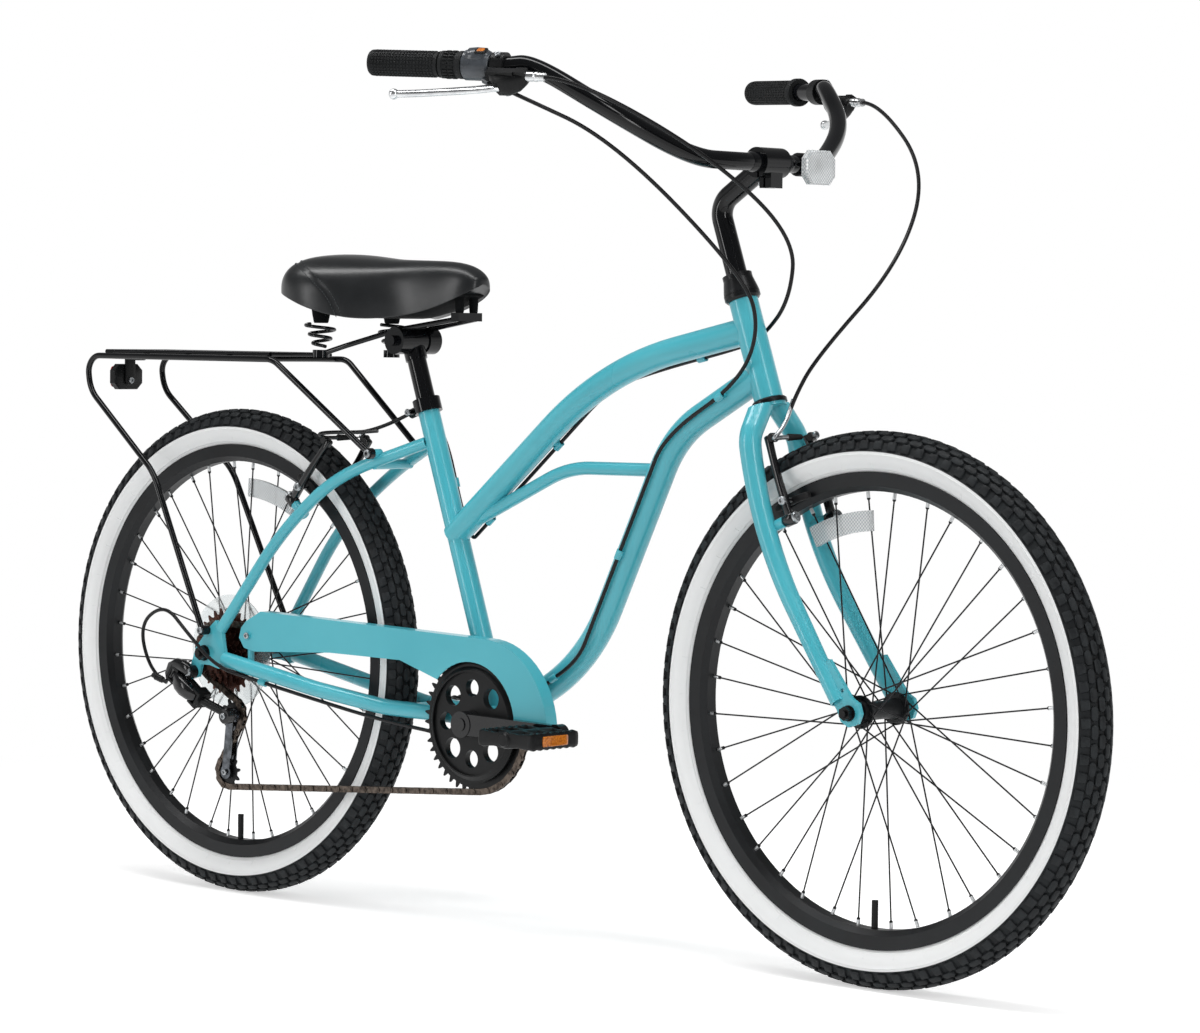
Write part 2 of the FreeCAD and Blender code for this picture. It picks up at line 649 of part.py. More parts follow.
def lever_bracket():
    collar = along_grip(160, 176, 16.5, bar_fit)
    neck = Part.makeBox(16, 18, 11, Vector(160, 12, -5.5))
    cheeks = Part.makeBox(34, 13, 17, Vector(164, 22.5, -8.5))
    slot = Part.makeBox(40, 16, 9.4, Vector(173, 21, -4.7))
    slot = slot.fuse(Part.makeBox(14, 8, 9.4, Vector(161, 31, -4.7)))
    nose = Part.makeBox(14, 13, 17, Vector(198, 20, -8.5))
    barrel = Part.makeCylinder(5, 24, Vector(211, 26, 0), Vector(1, 0.03, 0))
    shape = neck.cut(Part.makeCylinder(14, 40, Vector(150, 0, 0), Vector(1, 0, 0)))
    shape = collar.fuse([shape, cheeks.cut(slot), nose, barrel])
    pin = Part.makeCylinder(2.5, 17, Vector(lever_pivot.x, lever_pivot.y, -8.5), Vector(0, 0, 1))
    return shape.fuse(pin)


def lever_blade():
    eye = Part.makeCylinder(6, 8, Vector(lever_pivot.x, lever_pivot.y, -4), Vector(0, 0, 1))
    points = [(lever_pivot.x + 2, lever_pivot.y + 4), (150, 48), (112, 64), (80, 74), (67, 76), (60, 80),
              (64, 87), (74, 86), (116, 74), (152, 60), (176, 44)]
    corners = [Vector(x, y, -4) for x, y in points]
    face = Part.Face(Part.makePolygon(corners + corners[:1]))
    shape = eye.fuse(face.extrude(Vector(0, 0, 8)))
    hole = Part.makeCylinder(2.55, 20, Vector(lever_pivot.x, lever_pivot.y, -10), Vector(0, 0, 1))
    return shape.cut(hole)


bracket_shape = moved(lever_bracket(), grip_frame)
node("brake_brackets", shaped("left_lever_bracket", bracket_shape),
     shaped("right_lever_bracket", mirrored(bracket_shape)))
blade_shape = moved(lever_blade(), grip_frame)
node("left_brake_lever", shaped("left_lever", blade_shape))
node("right_brake_lever", shaped("right_lever", mirrored(blade_shape)))

lens = block((398, 36, 964), (408, 92, 1006))
lens_band = Part.makeCylinder(14.5, 14, Vector(376, 55, 989), Vector(0, 1, 0))
lens_band = lens_band.fuse(block((384, 57, 982), (398.5, 67, 996)))
bar_axis_low = Vector(376, 0, 989)
lens_band = lens_band.cut(Part.makeCylinder(size("bar_radius"), 120, bar_axis_low, Vector(0, 1, 0)))
node("front_reflector", shaped("front_reflector_lens", lens.cut(lens_band)),
     shaped("front_reflector_clip", lens_band))


# Frame tubes: every end is mitred to the tube it meets

wall = size("tube_wall_thickness")
shell_outer = Part.makeCylinder(size("shell_radius"), size("shell_width"),
                                bracket - Vector(0, size("shell_width") / 2, 0), Vector(0, 1, 0))
shell_inner = Part.makeCylinder(size("shell_bore"), size("shell_width"),
                                bracket - Vector(0, size("shell_width") / 2, 0), Vector(0, 1, 0))
seat_outer = Part.makeCylinder(size("seat_tube_radius"), size("seat_tube_length"), bracket, seat_up)
seat_inner = Part.makeCylinder(size("seat_tube_bore"), size("seat_tube_length"), bracket, seat_up)
head_length = size("head_tube_high") - size("head_tube_low")
head_foot = steer_point(size("head_tube_low"))
head_outer = Part.makeCylinder(size("head_tube_radius"), head_length, head_foot, steer_up)
head_inner = Part.makeCylinder(size("head_tube_bore"), head_length, head_foot, steer_up)

top_path = [(-150, 0, 511), (113.4, 0, 733.3), (345, 0, 784)]
top_radii = [490]
down_path = [(-62, 0, 274), (91.4, 0, 362.6), (232.8, 0, 653.2), (372, 0, 731.5)]
down_radii = [250, 150]
brace_path = [(-108, 0, 534), (52, 0, 607.2), (214, 0, 609)]
brace_radii = [180]


def frame_tube(path, radii, radius):
    return swept(path, radii, radius), swept(path, radii, radius - wall)


top_outer, top_inner = frame_tube(top_path, top_radii, size("top_tube_radius"))
down_outer, down_inner = frame_tube(down_path, down_radii, size("down_tube_radius"))
brace_outer, brace_inner = frame_tube(brace_path, brace_radii, size("brace_radius"))

top_tube = top_outer.cut(top_inner).cut(head_outer).cut(seat_outer)
down_tube = down_outer.cut(down_inner).cut(head_outer).cut(shell_outer).cut(seat_outer)
brace_tube = brace_outer.cut(brace_inner).cut(top_outer).cut(down_outer).cut(seat_outer)
seat_tube = seat_outer.cut(seat_inner).cut(shell_outer)


def largest(shape):
    return max(shape.Solids, key=lambda solid: solid.Volume)


node("front_triangle",
     shaped("head_tube", head_outer.cut(head_inner)),
     shaped("top_tube", largest(top_tube)),
     shaped("down_tube", largest(down_tube)),
     shaped("brace_tube", largest(brace_tube)),
     shaped("seat_tube", largest(seat_tube)),
     shaped("bracket_shell", shell_outer.cut(shell_inner)))


# Rear triangle: stays, their bridges and the flat ends that hold the axle

def rear_end(side):
    outline = [(-576, 342), (-566, 352), (-552, 368), (-537, 380), (-525, 367), (-520, 342), (-516, 322),
               (-530, 314), (-548, 318), (-566, 318)]
    if side < 0:
        outline += [(-572, 300), (-586, 296), (-592, 306), (-584, 322)]
    else:
        outline += [(-575, 326)]
    inner = size("rear_dropout_inner")
    low, high = sorted((side * inner, side * (inner + size("dropout_thickness"))))
    plate = outline_plate(outline, low, high)
    hole_start = Vector(rear_hub.x, low - 5, rear_hub.z)
    hole = Part.makeCylinder(size("rear_axle_radius"), 20, hole_start, Vector(0, 1, 0))
    return plate.cut(hole)


seat_stay_path = [(-196, -8, 632), (-318, -50, 586), (-420, -53, 512), (-530.9, -65.3, 367.5)]
seat_stay_radii = [260, 480]
chain_stay_path = [(-66, -23, 277), (-236, -40, 281.5), (-352, -55, 298), (-521, -66.2, 327.2)]
chain_stay_radii = [220, 260]
shell_clear = Part.makeCylinder(size("shell_radius"), 96, bracket - Vector(0, 48, 0), Vector(0, 1, 0))
stays = []
for name, path, radii, radius, cutters in (
        ("seat_stay", seat_stay_path, seat_stay_radii, size("seat_stay_radius"), [seat_outer]),
        ("chain_stay", chain_stay_path, chain_stay_radii, size("chain_stay_radius"), [shell_clear])):
    outer, inner = frame_tube(path, radii, radius)
    tube = outer.cut(inner)
    for cutter in cutters + [rear_end(-1)]:
        tube = tube.cut(cutter)
    tube = largest(tube)
    if name == "seat_stay":
        tube = largest(tube.cut(block((-400, 0, 500), (-100, 40, 700))))
    stays.append(shaped("right_" + name, tube))
    stays.append(shaped("left_" + name, mirrored(tube)))
seat_stay_outer = frame_tube(seat_stay_path, seat_stay_radii, size("seat_stay_radius"))[0]
chain_stay_outer = frame_tube(chain_stay_path, chain_stay_radii, size("chain_stay_radius"))[0]
stay_bridges = []
for start, radius, cutter in ((Vector(-268, -34, 601), 6.5, seat_stay_outer),
                              (Vector(-196, -36, 281), 8.0, chain_stay_outer)):
    bridge = rod(start, Vector(start.x, -start.y, start.z), radius)
    bridge = largest(bridge.cut(cutter).cut(mirrored(cutter)))
    stay_bridges.append(bridge)
node("rear_triangle", *stays,
     shaped("right_rear_end", rear_end(-1)), shaped("left_rear_end", rear_end(1)),
     shaped("stay_bridges", Part.Compound(stay_bridges)))

# Bosses and guides brazed on the tubes

rear_pivot_base = Vector(-397.0, 0, 531.0)
rear_pivot_axis = Vector(-0.771, 0, 0.637)
rear_arm_up = Vector(0.637, 0, 0.771)
fittings = []
rear_boss = brake_boss(rear_pivot_base, rear_pivot_axis, -1).cut(seat_stay_outer)
fittings.append(largest(rear_boss))
fittings.append(mirrored(largest(rear_boss)))


def cable_guide(centre, heading, reach, tube):
    """A short sleeve on a foot that stands on the tube."""
    heading = Vector(*heading).normalize()
    start = Vector(*centre) - heading * 6
    sleeve = Part.makeCylinder(4.6, 12, start, heading)
    foot = Part.makeCylinder(3.6, Vector(*reach).Length, Vector(*centre), Vector(*reach))
    hole = Part.makeCylinder(size("cable_radius") + 0.05, 40, Vector(*centre) - heading * 20, heading)
    return largest(sleeve.fuse(foot).cut(hole).cut(tube))


def offset_point(path, index, fraction, drop):
    start = Vector(*path[index])
    end = Vector(*path[index + 1])
    along = (end - start).normalize()
    below = Vector(along.z, 0, -along.x)
    return start + (end - start) * fraction + below * drop, along, below


cable_drop = 16.4
cable_side = 13.75
for index, fraction in ((1, 0.63), (0, 0.61), (0, 0.155)):
    centre, along, below = offset_point(top_path, index, fraction, cable_drop)
    foot = below * -cable_drop + Vector(0, -cable_side, 0)
    fittings.append(cable_guide((centre.x, cable_side, centre.z), tuple(along), tuple(foot), top_outer))
beside_down = size("down_tube_radius") + 4.4
down_guides = [(Vector(*down_path[2]) * 0.36 + Vector(*down_path[3]) * 0.64, 2),
               (Vector(*down_path[1]) * 0.52 + Vector(*down_path[2]) * 0.48, 1),
               (Vector(*down_path[0]) * 0.27 + Vector(*down_path[1]) * 0.73, 0)]
for centre, index in down_guides:
    along = Vector(*down_path[index + 1]) - Vector(*down_path[index])
    fittings.append(cable_guide((centre.x, -beside_down, centre.z), tuple(along), (0, 20, 0), down_outer))
rack_boss = rod(Vector(-262, -29, 616), Vector(-262, -43, 616), 6).cut(seat_stay_outer)
rack_boss = largest(rack_boss.fuse(rod(Vector(-262, -43, 616), Vector(-262, -44, 616), 6)))
fittings += [rack_boss, mirrored(rack_boss)]
guard_post = rod(Vector(-482, -54.4, 319), Vector(-482, -54.4, 367), 4.5).cut(chain_stay_outer)
guard_post = max(guard_post.Solids, key=lambda solid: solid.CenterOfMass.z)
guard_tab = block((-92, -57.8, 374), (-76, -10, 380)).cut(seat_outer)
guard_tab = min(guard_tab.Solids, key=lambda solid: solid.CenterOfMass.y)
stay_run_start = Vector(-370, -57, 286.5)
stay_run_end = Vector(-476, -62.8, 304.4)
stay_stop_centre = stay_run_start * 0.24 + stay_run_end * 0.76
stay_stop = cable_guide(tuple(stay_stop_centre), tuple(stay_run_end - stay_run_start), (0.4, 0, 18),
                        chain_stay_outer)
seat_run_low = Vector(-148, 24, 499)
seat_run_high = Vector(-206, 24, 690)
seat_stop_centre = seat_run_low * 0.58 + seat_run_high * 0.42
seat_stop = cable_guide(tuple(seat_stop_centre), tuple(seat_run_high - seat_run_low), (0, -22, 0), seat_outer)
fittings += [guard_post, guard_tab, stay_stop, seat_stop]
node("frame_fittings", shaped("frame_fitting_set", Part.Compound(fittings)))


# Bottom bracket and cranks

right_cup = turned("right_cup", [
         ("spindle_radius+bearing_clearance", "-36.5"), ("shell_radius-1", "-36.5"),
         ("shell_radius-1", "-34"),
         ("shell_bore", "-34"), ("shell_bore", "-16"), ("spindle_radius+bearing_clearance", "-16")],
         at(bracket.x, 0, bracket.z))
left_cup = turned("left_cup", [
         ("spindle_radius+bearing_clearance", "16"), ("shell_bore", "16"), ("shell_bore", "34"),
         ("shell_radius-1", "34"), ("shell_radius-1", "36.5"), ("spindle_radius+bearing_clearance", "36.5")],
         at(bracket.x, 0, bracket.z))
node("bearing_cups", lower_cup, upper_cup, right_cup, left_cup)
node("crank_spindle", primitive(
    "Part::Cylinder", "spindle_shaft",
    FreeCAD.Placement(bracket - Vector(0, size("spindle_half_length"), 0),
                      FreeCAD.Rotation(Vector(1, 0, 0), -90)),
    Radius="spindle_radius", Height="2*spindle_half_length"))


def crank_arm(side):
    inner = size("crank_inner_offset")
    outer = inner + size("crank_thickness")
    low, high = sorted((side * inner, side * outer))
    reach = size("crank_length") * (1 if side < 0 else -1)
    pedal = bracket + Vector(reach, 0, 0)
    ahead = 1 if reach > 0 else -1
    boss = Part.makeCylinder(17, high - low, Vector(bracket.x, low, bracket.z), Vector(0, 1, 0))
    eye = Part.makeCylinder(13, high - low, Vector(pedal.x, low, pedal.z), Vector(0, 1, 0))
    web = outline_plate([(bracket.x + ahead * 3, bracket.z + 14), (pedal.x, pedal.z + 11),
                         (pedal.x, pedal.z - 11), (bracket.x + ahead * 3, bracket.z - 14)], low + 1, high - 1)
    arm = boss.fuse([eye, web])
    hole_start = Vector(bracket.x, side * 66 - 30, bracket.z)
    hole = Part.makeCylinder(size("spindle_radius"), 60, hole_start, Vector(0, 1, 0))
    arm = arm.cut(hole)
    low, high = sorted((side * size("spindle_half_length"), side * (outer + 1.5)))
    cap_start = Vector(bracket.x, low, bracket.z)
    cap = Part.makeCylinder(size("spindle_radius"), high - low, cap_start, Vector(0, 1, 0))
    low, high = sorted((side * (outer - 2), side * (outer + size("pedal_length") + 6)))
    shaft_start = Vector(pedal.x, low, pedal.z)
    shaft = Part.makeCylinder(size("pedal_spindle_radius"), high - low, shaft_start, Vector(0, 1, 0))
    return arm.fuse(shaft), cap


for side, word in ((-1, "right"), (1, "left")):
    arm, cap = crank_arm(side)
    node(word + "_crank", shaped(word + "_crank_arm", arm), shaped(word + "_crank_cap", cap))


def pedal_body(side):
    """A caged platform: two long rails, end plates and ribs round a bored barrel."""
    long = size("pedal_length")
    wide = size("pedal_width")
    tall = size("pedal_height")
    near = size("crank_inner_offset") + size("crank_thickness") + 4.0
    shape = block((-wide / 2, near, -tall / 2), (wide / 2, near + long, tall / 2))
    for low_x, high_x in ((-wide / 2 + 9, -12), (12, wide / 2 - 9)):
        for index in range(3):
            start = near + 8 + index * 25.5
            shape = shape.cut(block((low_x, start, -20), (high_x, start + 21, 20)))
    waist = block((-12, near + 8, 10.0), (12, near + long - 8, 20))
    shape = shape.cut(waist)
    waist.rotate(Vector(0, 0, 0), Vector(0, 1, 0), 180)
    shape = shape.cut(waist)
    notch = block((-wide / 2 - 1, near - 1, -20), (-wide / 2 + 12, near + 9, 20))
    shape = shape.cut(notch)
    notch = block((wide / 2 - 12, near - 1, -20), (wide / 2 + 1, near + 9, 20))
    shape = shape.cut(notch)
    bore_radius = size("pedal_spindle_radius") + 0.05
    bore = Part.makeCylinder(bore_radius, long + 8, Vector(0, near - 4, 0), Vector(0, 1, 0))
    shape = shape.cut(bore)
    if side < 0:
        shape = mirrored(shape)
    reach = size("crank_length") * (1 if side < 0 else -1)
    shape.translate(bracket + Vector(reach, 0, 0))
    return shape


node("right_pedal", shaped("right_pedal_body", pedal_body(-1)))
node("left_pedal", shaped("left_pedal_body", pedal_body(1)))


# Drivetrain: toothed wheels, and a chain whose rollers lie in their gaps

pitch = size("chain_pitch")


def pitch_radius(teeth):
    return pitch / (2 * math.sin(math.pi / teeth))


def toothed(teeth, thickness, bore, phase, tip=3.3):
    """A sprocket in the XZ plane, centred on Y, with a gap at the phase angle."""
    reach = pitch_radius(teeth)
    step = 2 * math.pi / teeth
    corners = []
    for index in range(teeth):
        for radius, share in ((reach - 4.1, -0.22), (reach - 4.1, 0.22), (reach, 0.335),
                              (reach + tip, 0.44), (reach + tip, 0.56), (reach, 0.665)):
            turn = phase + (index + share) * step
            corners.append(Vector(radius * math.cos(turn), -thickness / 2, radius * math.sin(turn)))
    face = Part.Face(Part.makePolygon(corners + corners[:1]))
    disc = face.extrude(Vector(0, thickness, 0))
    return disc.cut(Part.makeCylinder(bore, thickness + 2, Vector(0, -thickness / 2 - 1, 0), Vector(0, 1, 0)))


sprocket_teeth = [14, 16, 18, 20, 22, 24, 28]
sprocket_step = 5.0
sprocket_outer = -58.6
rest_gear = 3
chain_plane = sprocket_outer + rest_gear * sprocket_step
pulley_teeth = 10
chainring_plane = -size("chainring_offset")
guide_centre = Vector(-528, chain_plane, 250)
cage_span = 80.0


def chain_wheels(swing):
    tension = guide_centre + Vector(math.sin(swing), 0, -math.cos(swing)) * cage_span
    return [(Vector(bracket.x, chainring_plane, bracket.z), pitch_radius(int(size("chainring_teeth"))), 1),
            (Vector(rear_hub.x, chain_plane, rear_hub.z), pitch_radius(sprocket_teeth[rest_gear]), 1),
            (guide_centre, pitch_radius(pulley_teeth), -1),
            (tension, pitch_radius(pulley_teeth), 1)]


def tangent_points(first, second):
    (centre_a, radius_a, turn_a), (centre_b, radius_b, turn_b) = first, second
    gap = centre_b - centre_a
    span = math.hypot(gap.x, gap.z)
    heading = math.atan2(gap.z, gap.x) - math.asin((turn_b * radius_b - turn_a * radius_a) / span)
    left = Vector(-math.sin(heading), 0, math.cos(heading))
    return centre_a - left * (turn_a * radius_a), centre_b - left * (turn_b * radius_b)


def chain_track(swing):
    """Straight runs and wrapped arcs as (length, function of distance)."""
    wheels = chain_wheels(swing)
    runs = [tangent_points(wheels[i], wheels[(i + 1) % 4]) for i in range(4)]
    track = []
    for index in range(4):
        start, end = runs[index]
        track.append(((end - start).Length, lambda s, a=start, b=end: a + (b - a) * (s / (b - a).Length)))
        centre, radius, turn = wheels[(index + 1) % 4]
        leave = runs[(index + 1) % 4][0]
        begin_angle = math.atan2(end.z - centre.z, end.x - centre.x)
        finish_angle = math.atan2(leave.z - centre.z, leave.x - centre.x)
        sweep = (turn * (finish_angle - begin_angle)) % (2 * math.pi)
        track.append((sweep * radius, lambda s, c=centre, r=radius, a=begin_angle, t=turn: Vector(
            c.x + r * math.cos(a + t * s / r), c.y, c.z + r * math.sin(a + t * s / r))))
    return track


def track_point(track, distance):
    for length, place in track:
        if distance <= length:
            return place(distance)
        distance -= length
    return track[0][1](distance)


def walk_pins(track, count):
    pins = [track_point(track, 0.0)]
    distance = 0.0
    for index in range(count):
        low, high = distance + pitch - 0.01, distance + pitch + 0.9
        for halving in range(40):
            middle_way = (low + high) / 2
            if (track_point(track, middle_way) - pins[-1]).Length < pitch:
                low = middle_way
            else:
                high = middle_way
        distance = (low + high) / 2
        pins.append(track_point(track, distance))
    return pins, distance


def track_length(track):
    return sum(length for length, place in track)


link_count = 2 * round(track_length(chain_track(0.0)) / pitch / 2)
low_swing, high_swing = -0.6, 0.9


def slack(swing):
    track = chain_track(swing)
    return track_length(track) - walk_pins(track, link_count)[1]


swings = [low_swing + (high_swing - low_swing) * i / 30 for i in range(31)]
signs = [slack(swing) for swing in swings]
bracketed = [i for i in range(30) if signs[i] * signs[i + 1] < 0]
chosen = min(bracketed, key=lambda i: abs(swings[i]))
low_swing, high_swing = swings[chosen], swings[chosen + 1]
for halving in range(40):
    cage_swing = (low_swing + high_swing) / 2
    if slack(cage_swing) * slack(low_swing) <= 0:
        high_swing = cage_swing
    else:
        low_swing = cage_swing
pins, walked = walk_pins(chain_track(cage_swing), link_count)
tension_centre = chain_wheels(cage_swing)[3][0]
print("chain links", link_count, "cage swing", round(math.degrees(cage_swing), 2))


def gap_phase(centre, radius):
    on_wheel = [pin for pin in pins if abs(math.hypot(pin.x - centre.x, pin.z - centre.z) - radius) < 0.02]
    pin = on_wheel[len(on_wheel) // 2]
    return math.atan2(pin.z - centre.z, pin.x - centre.x)


def link_plate(half_height, thickness, hole, low_y):
    upper = Part.LineSegment(Vector(0, low_y, half_height), Vector(pitch, low_y, half_height)).toShape()
    nose = Part.Arc(Vector(pitch, low_y, half_height), Vector(pitch + half_height, low_y, 0),
                    Vector(pitch, low_y, -half_height)).toShape()
    lower = Part.LineSegment(Vector(pitch, low_y, -half_height), Vector(0, low_y, -half_height)).toShape()
    tail = Part.Arc(Vector(0, low_y, -half_height), Vector(-half_height, low_y, 0),
                    Vector(0, low_y, half_height)).toShape()
    plate = Part.Face(Part.Wire([upper, nose, lower, tail])).extrude(Vector(0, thickness, 0))
    for end in (0, pitch):
        if hole:
            plate = plate.cut(Part.makeCylinder(hole, 10, Vector(end, low_y - 5, 0), Vector(0, 1, 0)))
    return plate


def inner_link():
    shape = link_plate(4.1, 1.0, 2.0, 1.6).fuse(link_plate(4.1, 1.0, 2.0, -2.6))
    for end in (0, pitch):
        roller = Part.makeCylinder(3.85, 3.2, Vector(end, -1.6, 0), Vector(0, 1, 0))
        shape = shape.fuse(roller.cut(Part.makeCylinder(2.0, 3.2, Vector(end, -1.6, 0), Vector(0, 1, 0))))
    return shape


def outer_link():
    shape = link_plate(4.1, 0.9, None, 2.75).fuse(link_plate(4.1, 0.9, None, -3.65))
    for end in (0, pitch):
        shape = shape.fuse(Part.makeCylinder(1.8, 8.0, Vector(end, -4.0, 0), Vector(0, 1, 0)))
    return shape


link_shapes = (inner_link(), outer_link())
links = []
for index in range(link_count):
    ahead = (pins[index + 1] - pins[index]).normalize()
    upward = ahead.cross(Vector(0, 1, 0)).normalize() * -1
    across = upward.cross(ahead)
    link = link_shapes[index % 2].copy()
    link.Placement = axes(pins[index], ahead, across, upward)
    links.append(link)
node("chain", shaped("chain_links", Part.Compound(links)))

ring_centre = Vector(bracket.x, chainring_plane, bracket.z)
ring_phase = gap_phase(ring_centre, pitch_radius(int(size("chainring_teeth"))))
ring = toothed(int(size("chainring_teeth")), 2.2, 17.0, ring_phase)
window = Part.makeCylinder(13.5, 20, Vector(0, -10, 48), Vector(0, 1, 0))
small_window = Part.makeCylinder(11.5, 20, Vector(0, -10, 46), Vector(0, 1, 0))
disc = Part.makeCylinder(size("guard_disc_radius"), 3.0, Vector(0, -8.0, 0), Vector(0, 1, 0))
disc = disc.fuse(Part.makeCone(size("guard_disc_radius") - 3, size("guard_disc_radius") - 8, 4.0,
                               Vector(0, -8.0, 0), Vector(0, -1, 0)))
disc = disc.cut(Part.makeCylinder(size("guard_disc_radius") - 10, 5.0, Vector(0, -13.5, 0), Vector(0, 1, 0)))
disc = disc.cut(Part.makeCylinder(17.0, 20.0, Vector(0, -15, 0), Vector(0, 1, 0)))
ribs = Part.makeCylinder(66, 3.9, Vector(0, -5.0, 0), Vector(0, 1, 0))
ribs = ribs.cut(Part.makeCylinder(17.0, 3.9, Vector(0, -5.0, 0), Vector(0, 1, 0)))
disc = disc.fuse(ribs)
for index in range(8):
    hole = (small_window if index % 2 == 0 else window).copy()
    hole.rotate(Vector(0, 0, 0), Vector(0, 1, 0), 45 * index)
    disc = disc.cut(hole)
    ring = ring.cut(hole)
boss = Part.makeCylinder(17.0, 12.9, Vector(0, -16.0, 0), Vector(0, 1, 0))
boss = boss.cut(Part.makeCylinder(size("spindle_radius"), 20, Vector(0, -18, 0), Vector(0, 1, 0)))
disc = disc.fuse(boss)
for shape in (ring, disc):
    shape.translate(Vector(bracket.x, chainring_plane, bracket.z))
node("chainring", shaped("chainring_teeth", ring), shaped("chainring_guard_disc", disc))

cassette = []
for index, teeth in enumerate(sprocket_teeth):
    phase = 0.13 * index
    if index == rest_gear:
        phase = gap_phase(rear_hub, pitch_radius(teeth))
    sprocket = toothed(teeth, 1.9, 19.0, phase)
    sprocket.translate(Vector(rear_hub.x, sprocket_outer + index * sprocket_step, rear_hub.z))
    cassette.append(sprocket)
core = Part.makeCylinder(20.5, 36.0, Vector(rear_hub.x, -60.4, rear_hub.z), Vector(0, 1, 0))
core = core.cut(Part.makeCylinder(9.0, 38.0, Vector(rear_hub.x, -61.4, rear_hub.z), Vector(0, 1, 0)))
core = core.cut(Part.makeCylinder(17.0, 6.0, Vector(rear_hub.x, -61.4, rear_hub.z), Vector(0, 1, 0)))
freewheel = core.fuse(cassette)
node("freewheel", shaped("freewheel_body", freewheel))


# Chain guard: a flat cover with a folded lip along its upper edge

arc_centre = (-40.0, 270.0)
outer_reach = 115.0
window_reach = 80.0
guard_top = [(-500, 358), (-496, 372), (-487, 381), (-458, 396), (-40, 385)]
guard_arc = [(arc_centre[0] + outer_reach * math.sin(math.radians(a)),
              arc_centre[1] + outer_reach * math.cos(math.radians(a))) for a in range(6, 97, 6)]
inner_arc = [(bracket.x + window_reach * math.sin(math.radians(a)),
              bracket.z + window_reach * math.cos(math.radians(a))) for a in range(96, -49, -6)]
guard_low = [(-190, 348), (-322, 349), (-470, 341), (-490, 345)]
guard_face = -60.3
guard = outline_plate(guard_top + guard_arc + inner_arc + guard_low, guard_face, guard_face + 1.4)
lip_outer = guard_top[3:] + guard_arc
lip_shapes = []
for (x0, z0), (x1, z1) in zip(lip_outer, lip_outer[1:]):
    run = math.hypot(x1 - x0, z1 - z0)
    inset_x = (z1 - z0) / run * 1.4
    inset_z = -(x1 - x0) / run * 1.4
    lip_corners = [(x0, z0), (x1, z1), (x1 + inset_x, z1 + inset_z), (x0 + inset_x, z0 + inset_z)]
    lip_shapes.append(outline_plate(lip_corners,
                                    guard_face, guard_face + 20))
guard = guard.fuse(lip_shapes)
guard_screw = rod(Vector(-482, guard_face - 2.2, 362), Vector(-482, guard_face, 362), 5.2)
node("chain_guard", shaped("chain_guard_cover", guard.removeSplitter()),
     shaped("chain_guard_screw", guard_screw))


# Rear derailleur: bracket on the hanger, two parallel links, knuckle, swinging cage and two pulleys

link_mid = Vector(0.83, 0, -0.5578).normalize()
link_length = 46.0
link_heading = Vector(link_mid)
link_axis = Vector(0, -1, 0).cross(link_mid).normalize()
link_side = link_axis.cross(link_heading)
outer_pivot = Vector(-606, -80.0, 300)
inner_pivot = outer_pivot + Vector(0, 13.0, 0)


def link_plate_piece(pivot, bore):
    end = pivot + link_heading * link_length
    frame = axes(pivot, link_heading, link_side, link_axis)
    bar = Part.makeBox(link_length, 4.4, 15, Vector(0, -2.2, -7.5))
    for x in (0, link_length):
        bar = bar.fuse(Part.makeCylinder(4.2, 15, Vector(x, 0, -7.5), Vector(0, 0, 1)))
    for x in (0, link_length):
        bar = bar.cut(Part.makeCylinder(bore, 40, Vector(x, 0, -20), Vector(0, 0, 1)))
    return moved(bar, frame), end


outer_link_shape, outer_end = link_plate_piece(outer_pivot, 2.05)
link_cover = Part.makeCylinder(10, 27, Vector(9.5, -1, 0), Vector(1, 0, 0))
link_cover = link_cover.common(Part.makeBox(60, 20, 40, Vector(0, -22.0, -20)))
outer_frame = axes(outer_pivot, link_heading, link_side, link_axis)
outer_link_shape = outer_link_shape.fuse(moved(link_cover, outer_frame))
inner_link_shape, inner_end = link_plate_piece(inner_pivot, 2.05)
node("derailleur_outer_link", shaped("outer_link", outer_link_shape))
node("derailleur_inner_link", shaped("inner_link", inner_link_shape))


def yoke(first, second, back):
    """Two ears that hold the links' pins, with a bridge behind them."""
    sideways = back.cross(link_axis)
    frame = axes(first, sideways, back, link_axis)
    reach = (second - first).dot(sideways)
    span = abs(reach)
    low_x = min(0.0, reach) - 5
    ears = []
    for low in (-11.5, 8.0):
        ear = Part.makeBox(span + 10, 12, 3.5, Vector(low_x, -4.5, low))
        ears.append(ear)
    for x in (0, reach):
        ears.append(Part.makeCylinder(2.0, 23, Vector(x, 0, -11.5), Vector(0, 0, 1)))
    bridge = Part.makeBox(span + 10, 4, 23, Vector(low_x, 7.5, -11.5))
    return moved(ears[0].fuse(ears[1:] + [bridge]), frame)


hanger = Vector(-580, -70.0, 307)
bracket_yoke = yoke(outer_pivot, inner_pivot, link_mid * -1)
hanger_bolt = Part.makeCylinder(9, 10, Vector(hanger.x, -70.2, hanger.z), Vector(0, -1, 0))
hanger_arm = rod(Vector(hanger.x - 4, -76.5, hanger.z + 4.5), Vector(-613, -76.5, 314), 3.4)
derailleur_bracket = bracket_yoke.fuse([hanger_bolt, hanger_arm])
node("derailleur_bracket", shaped("bracket_body", derailleur_bracket))

cage_pivot = Vector(-519, chain_plane - 14.4, 250)
knuckle_yoke = yoke(outer_end, inner_end, link_mid)
knuckle_arm = Part.makeCylinder(10.5, 11, cage_pivot, Vector(0, -1, 0))
knuckle_link = rod(outer_end + link_mid * 9.5 + Vector(0, 6, 0), cage_pivot + Vector(0, -6, 3), 6.0)
knuckle = knuckle_yoke.fuse([knuckle_arm, knuckle_link])
knuckle_pin = Part.makeCylinder(3.0, 8, cage_pivot, Vector(0, 1, 0))
node("derailleur_knuckle", shaped("knuckle_body", knuckle.fuse(knuckle_pin)))


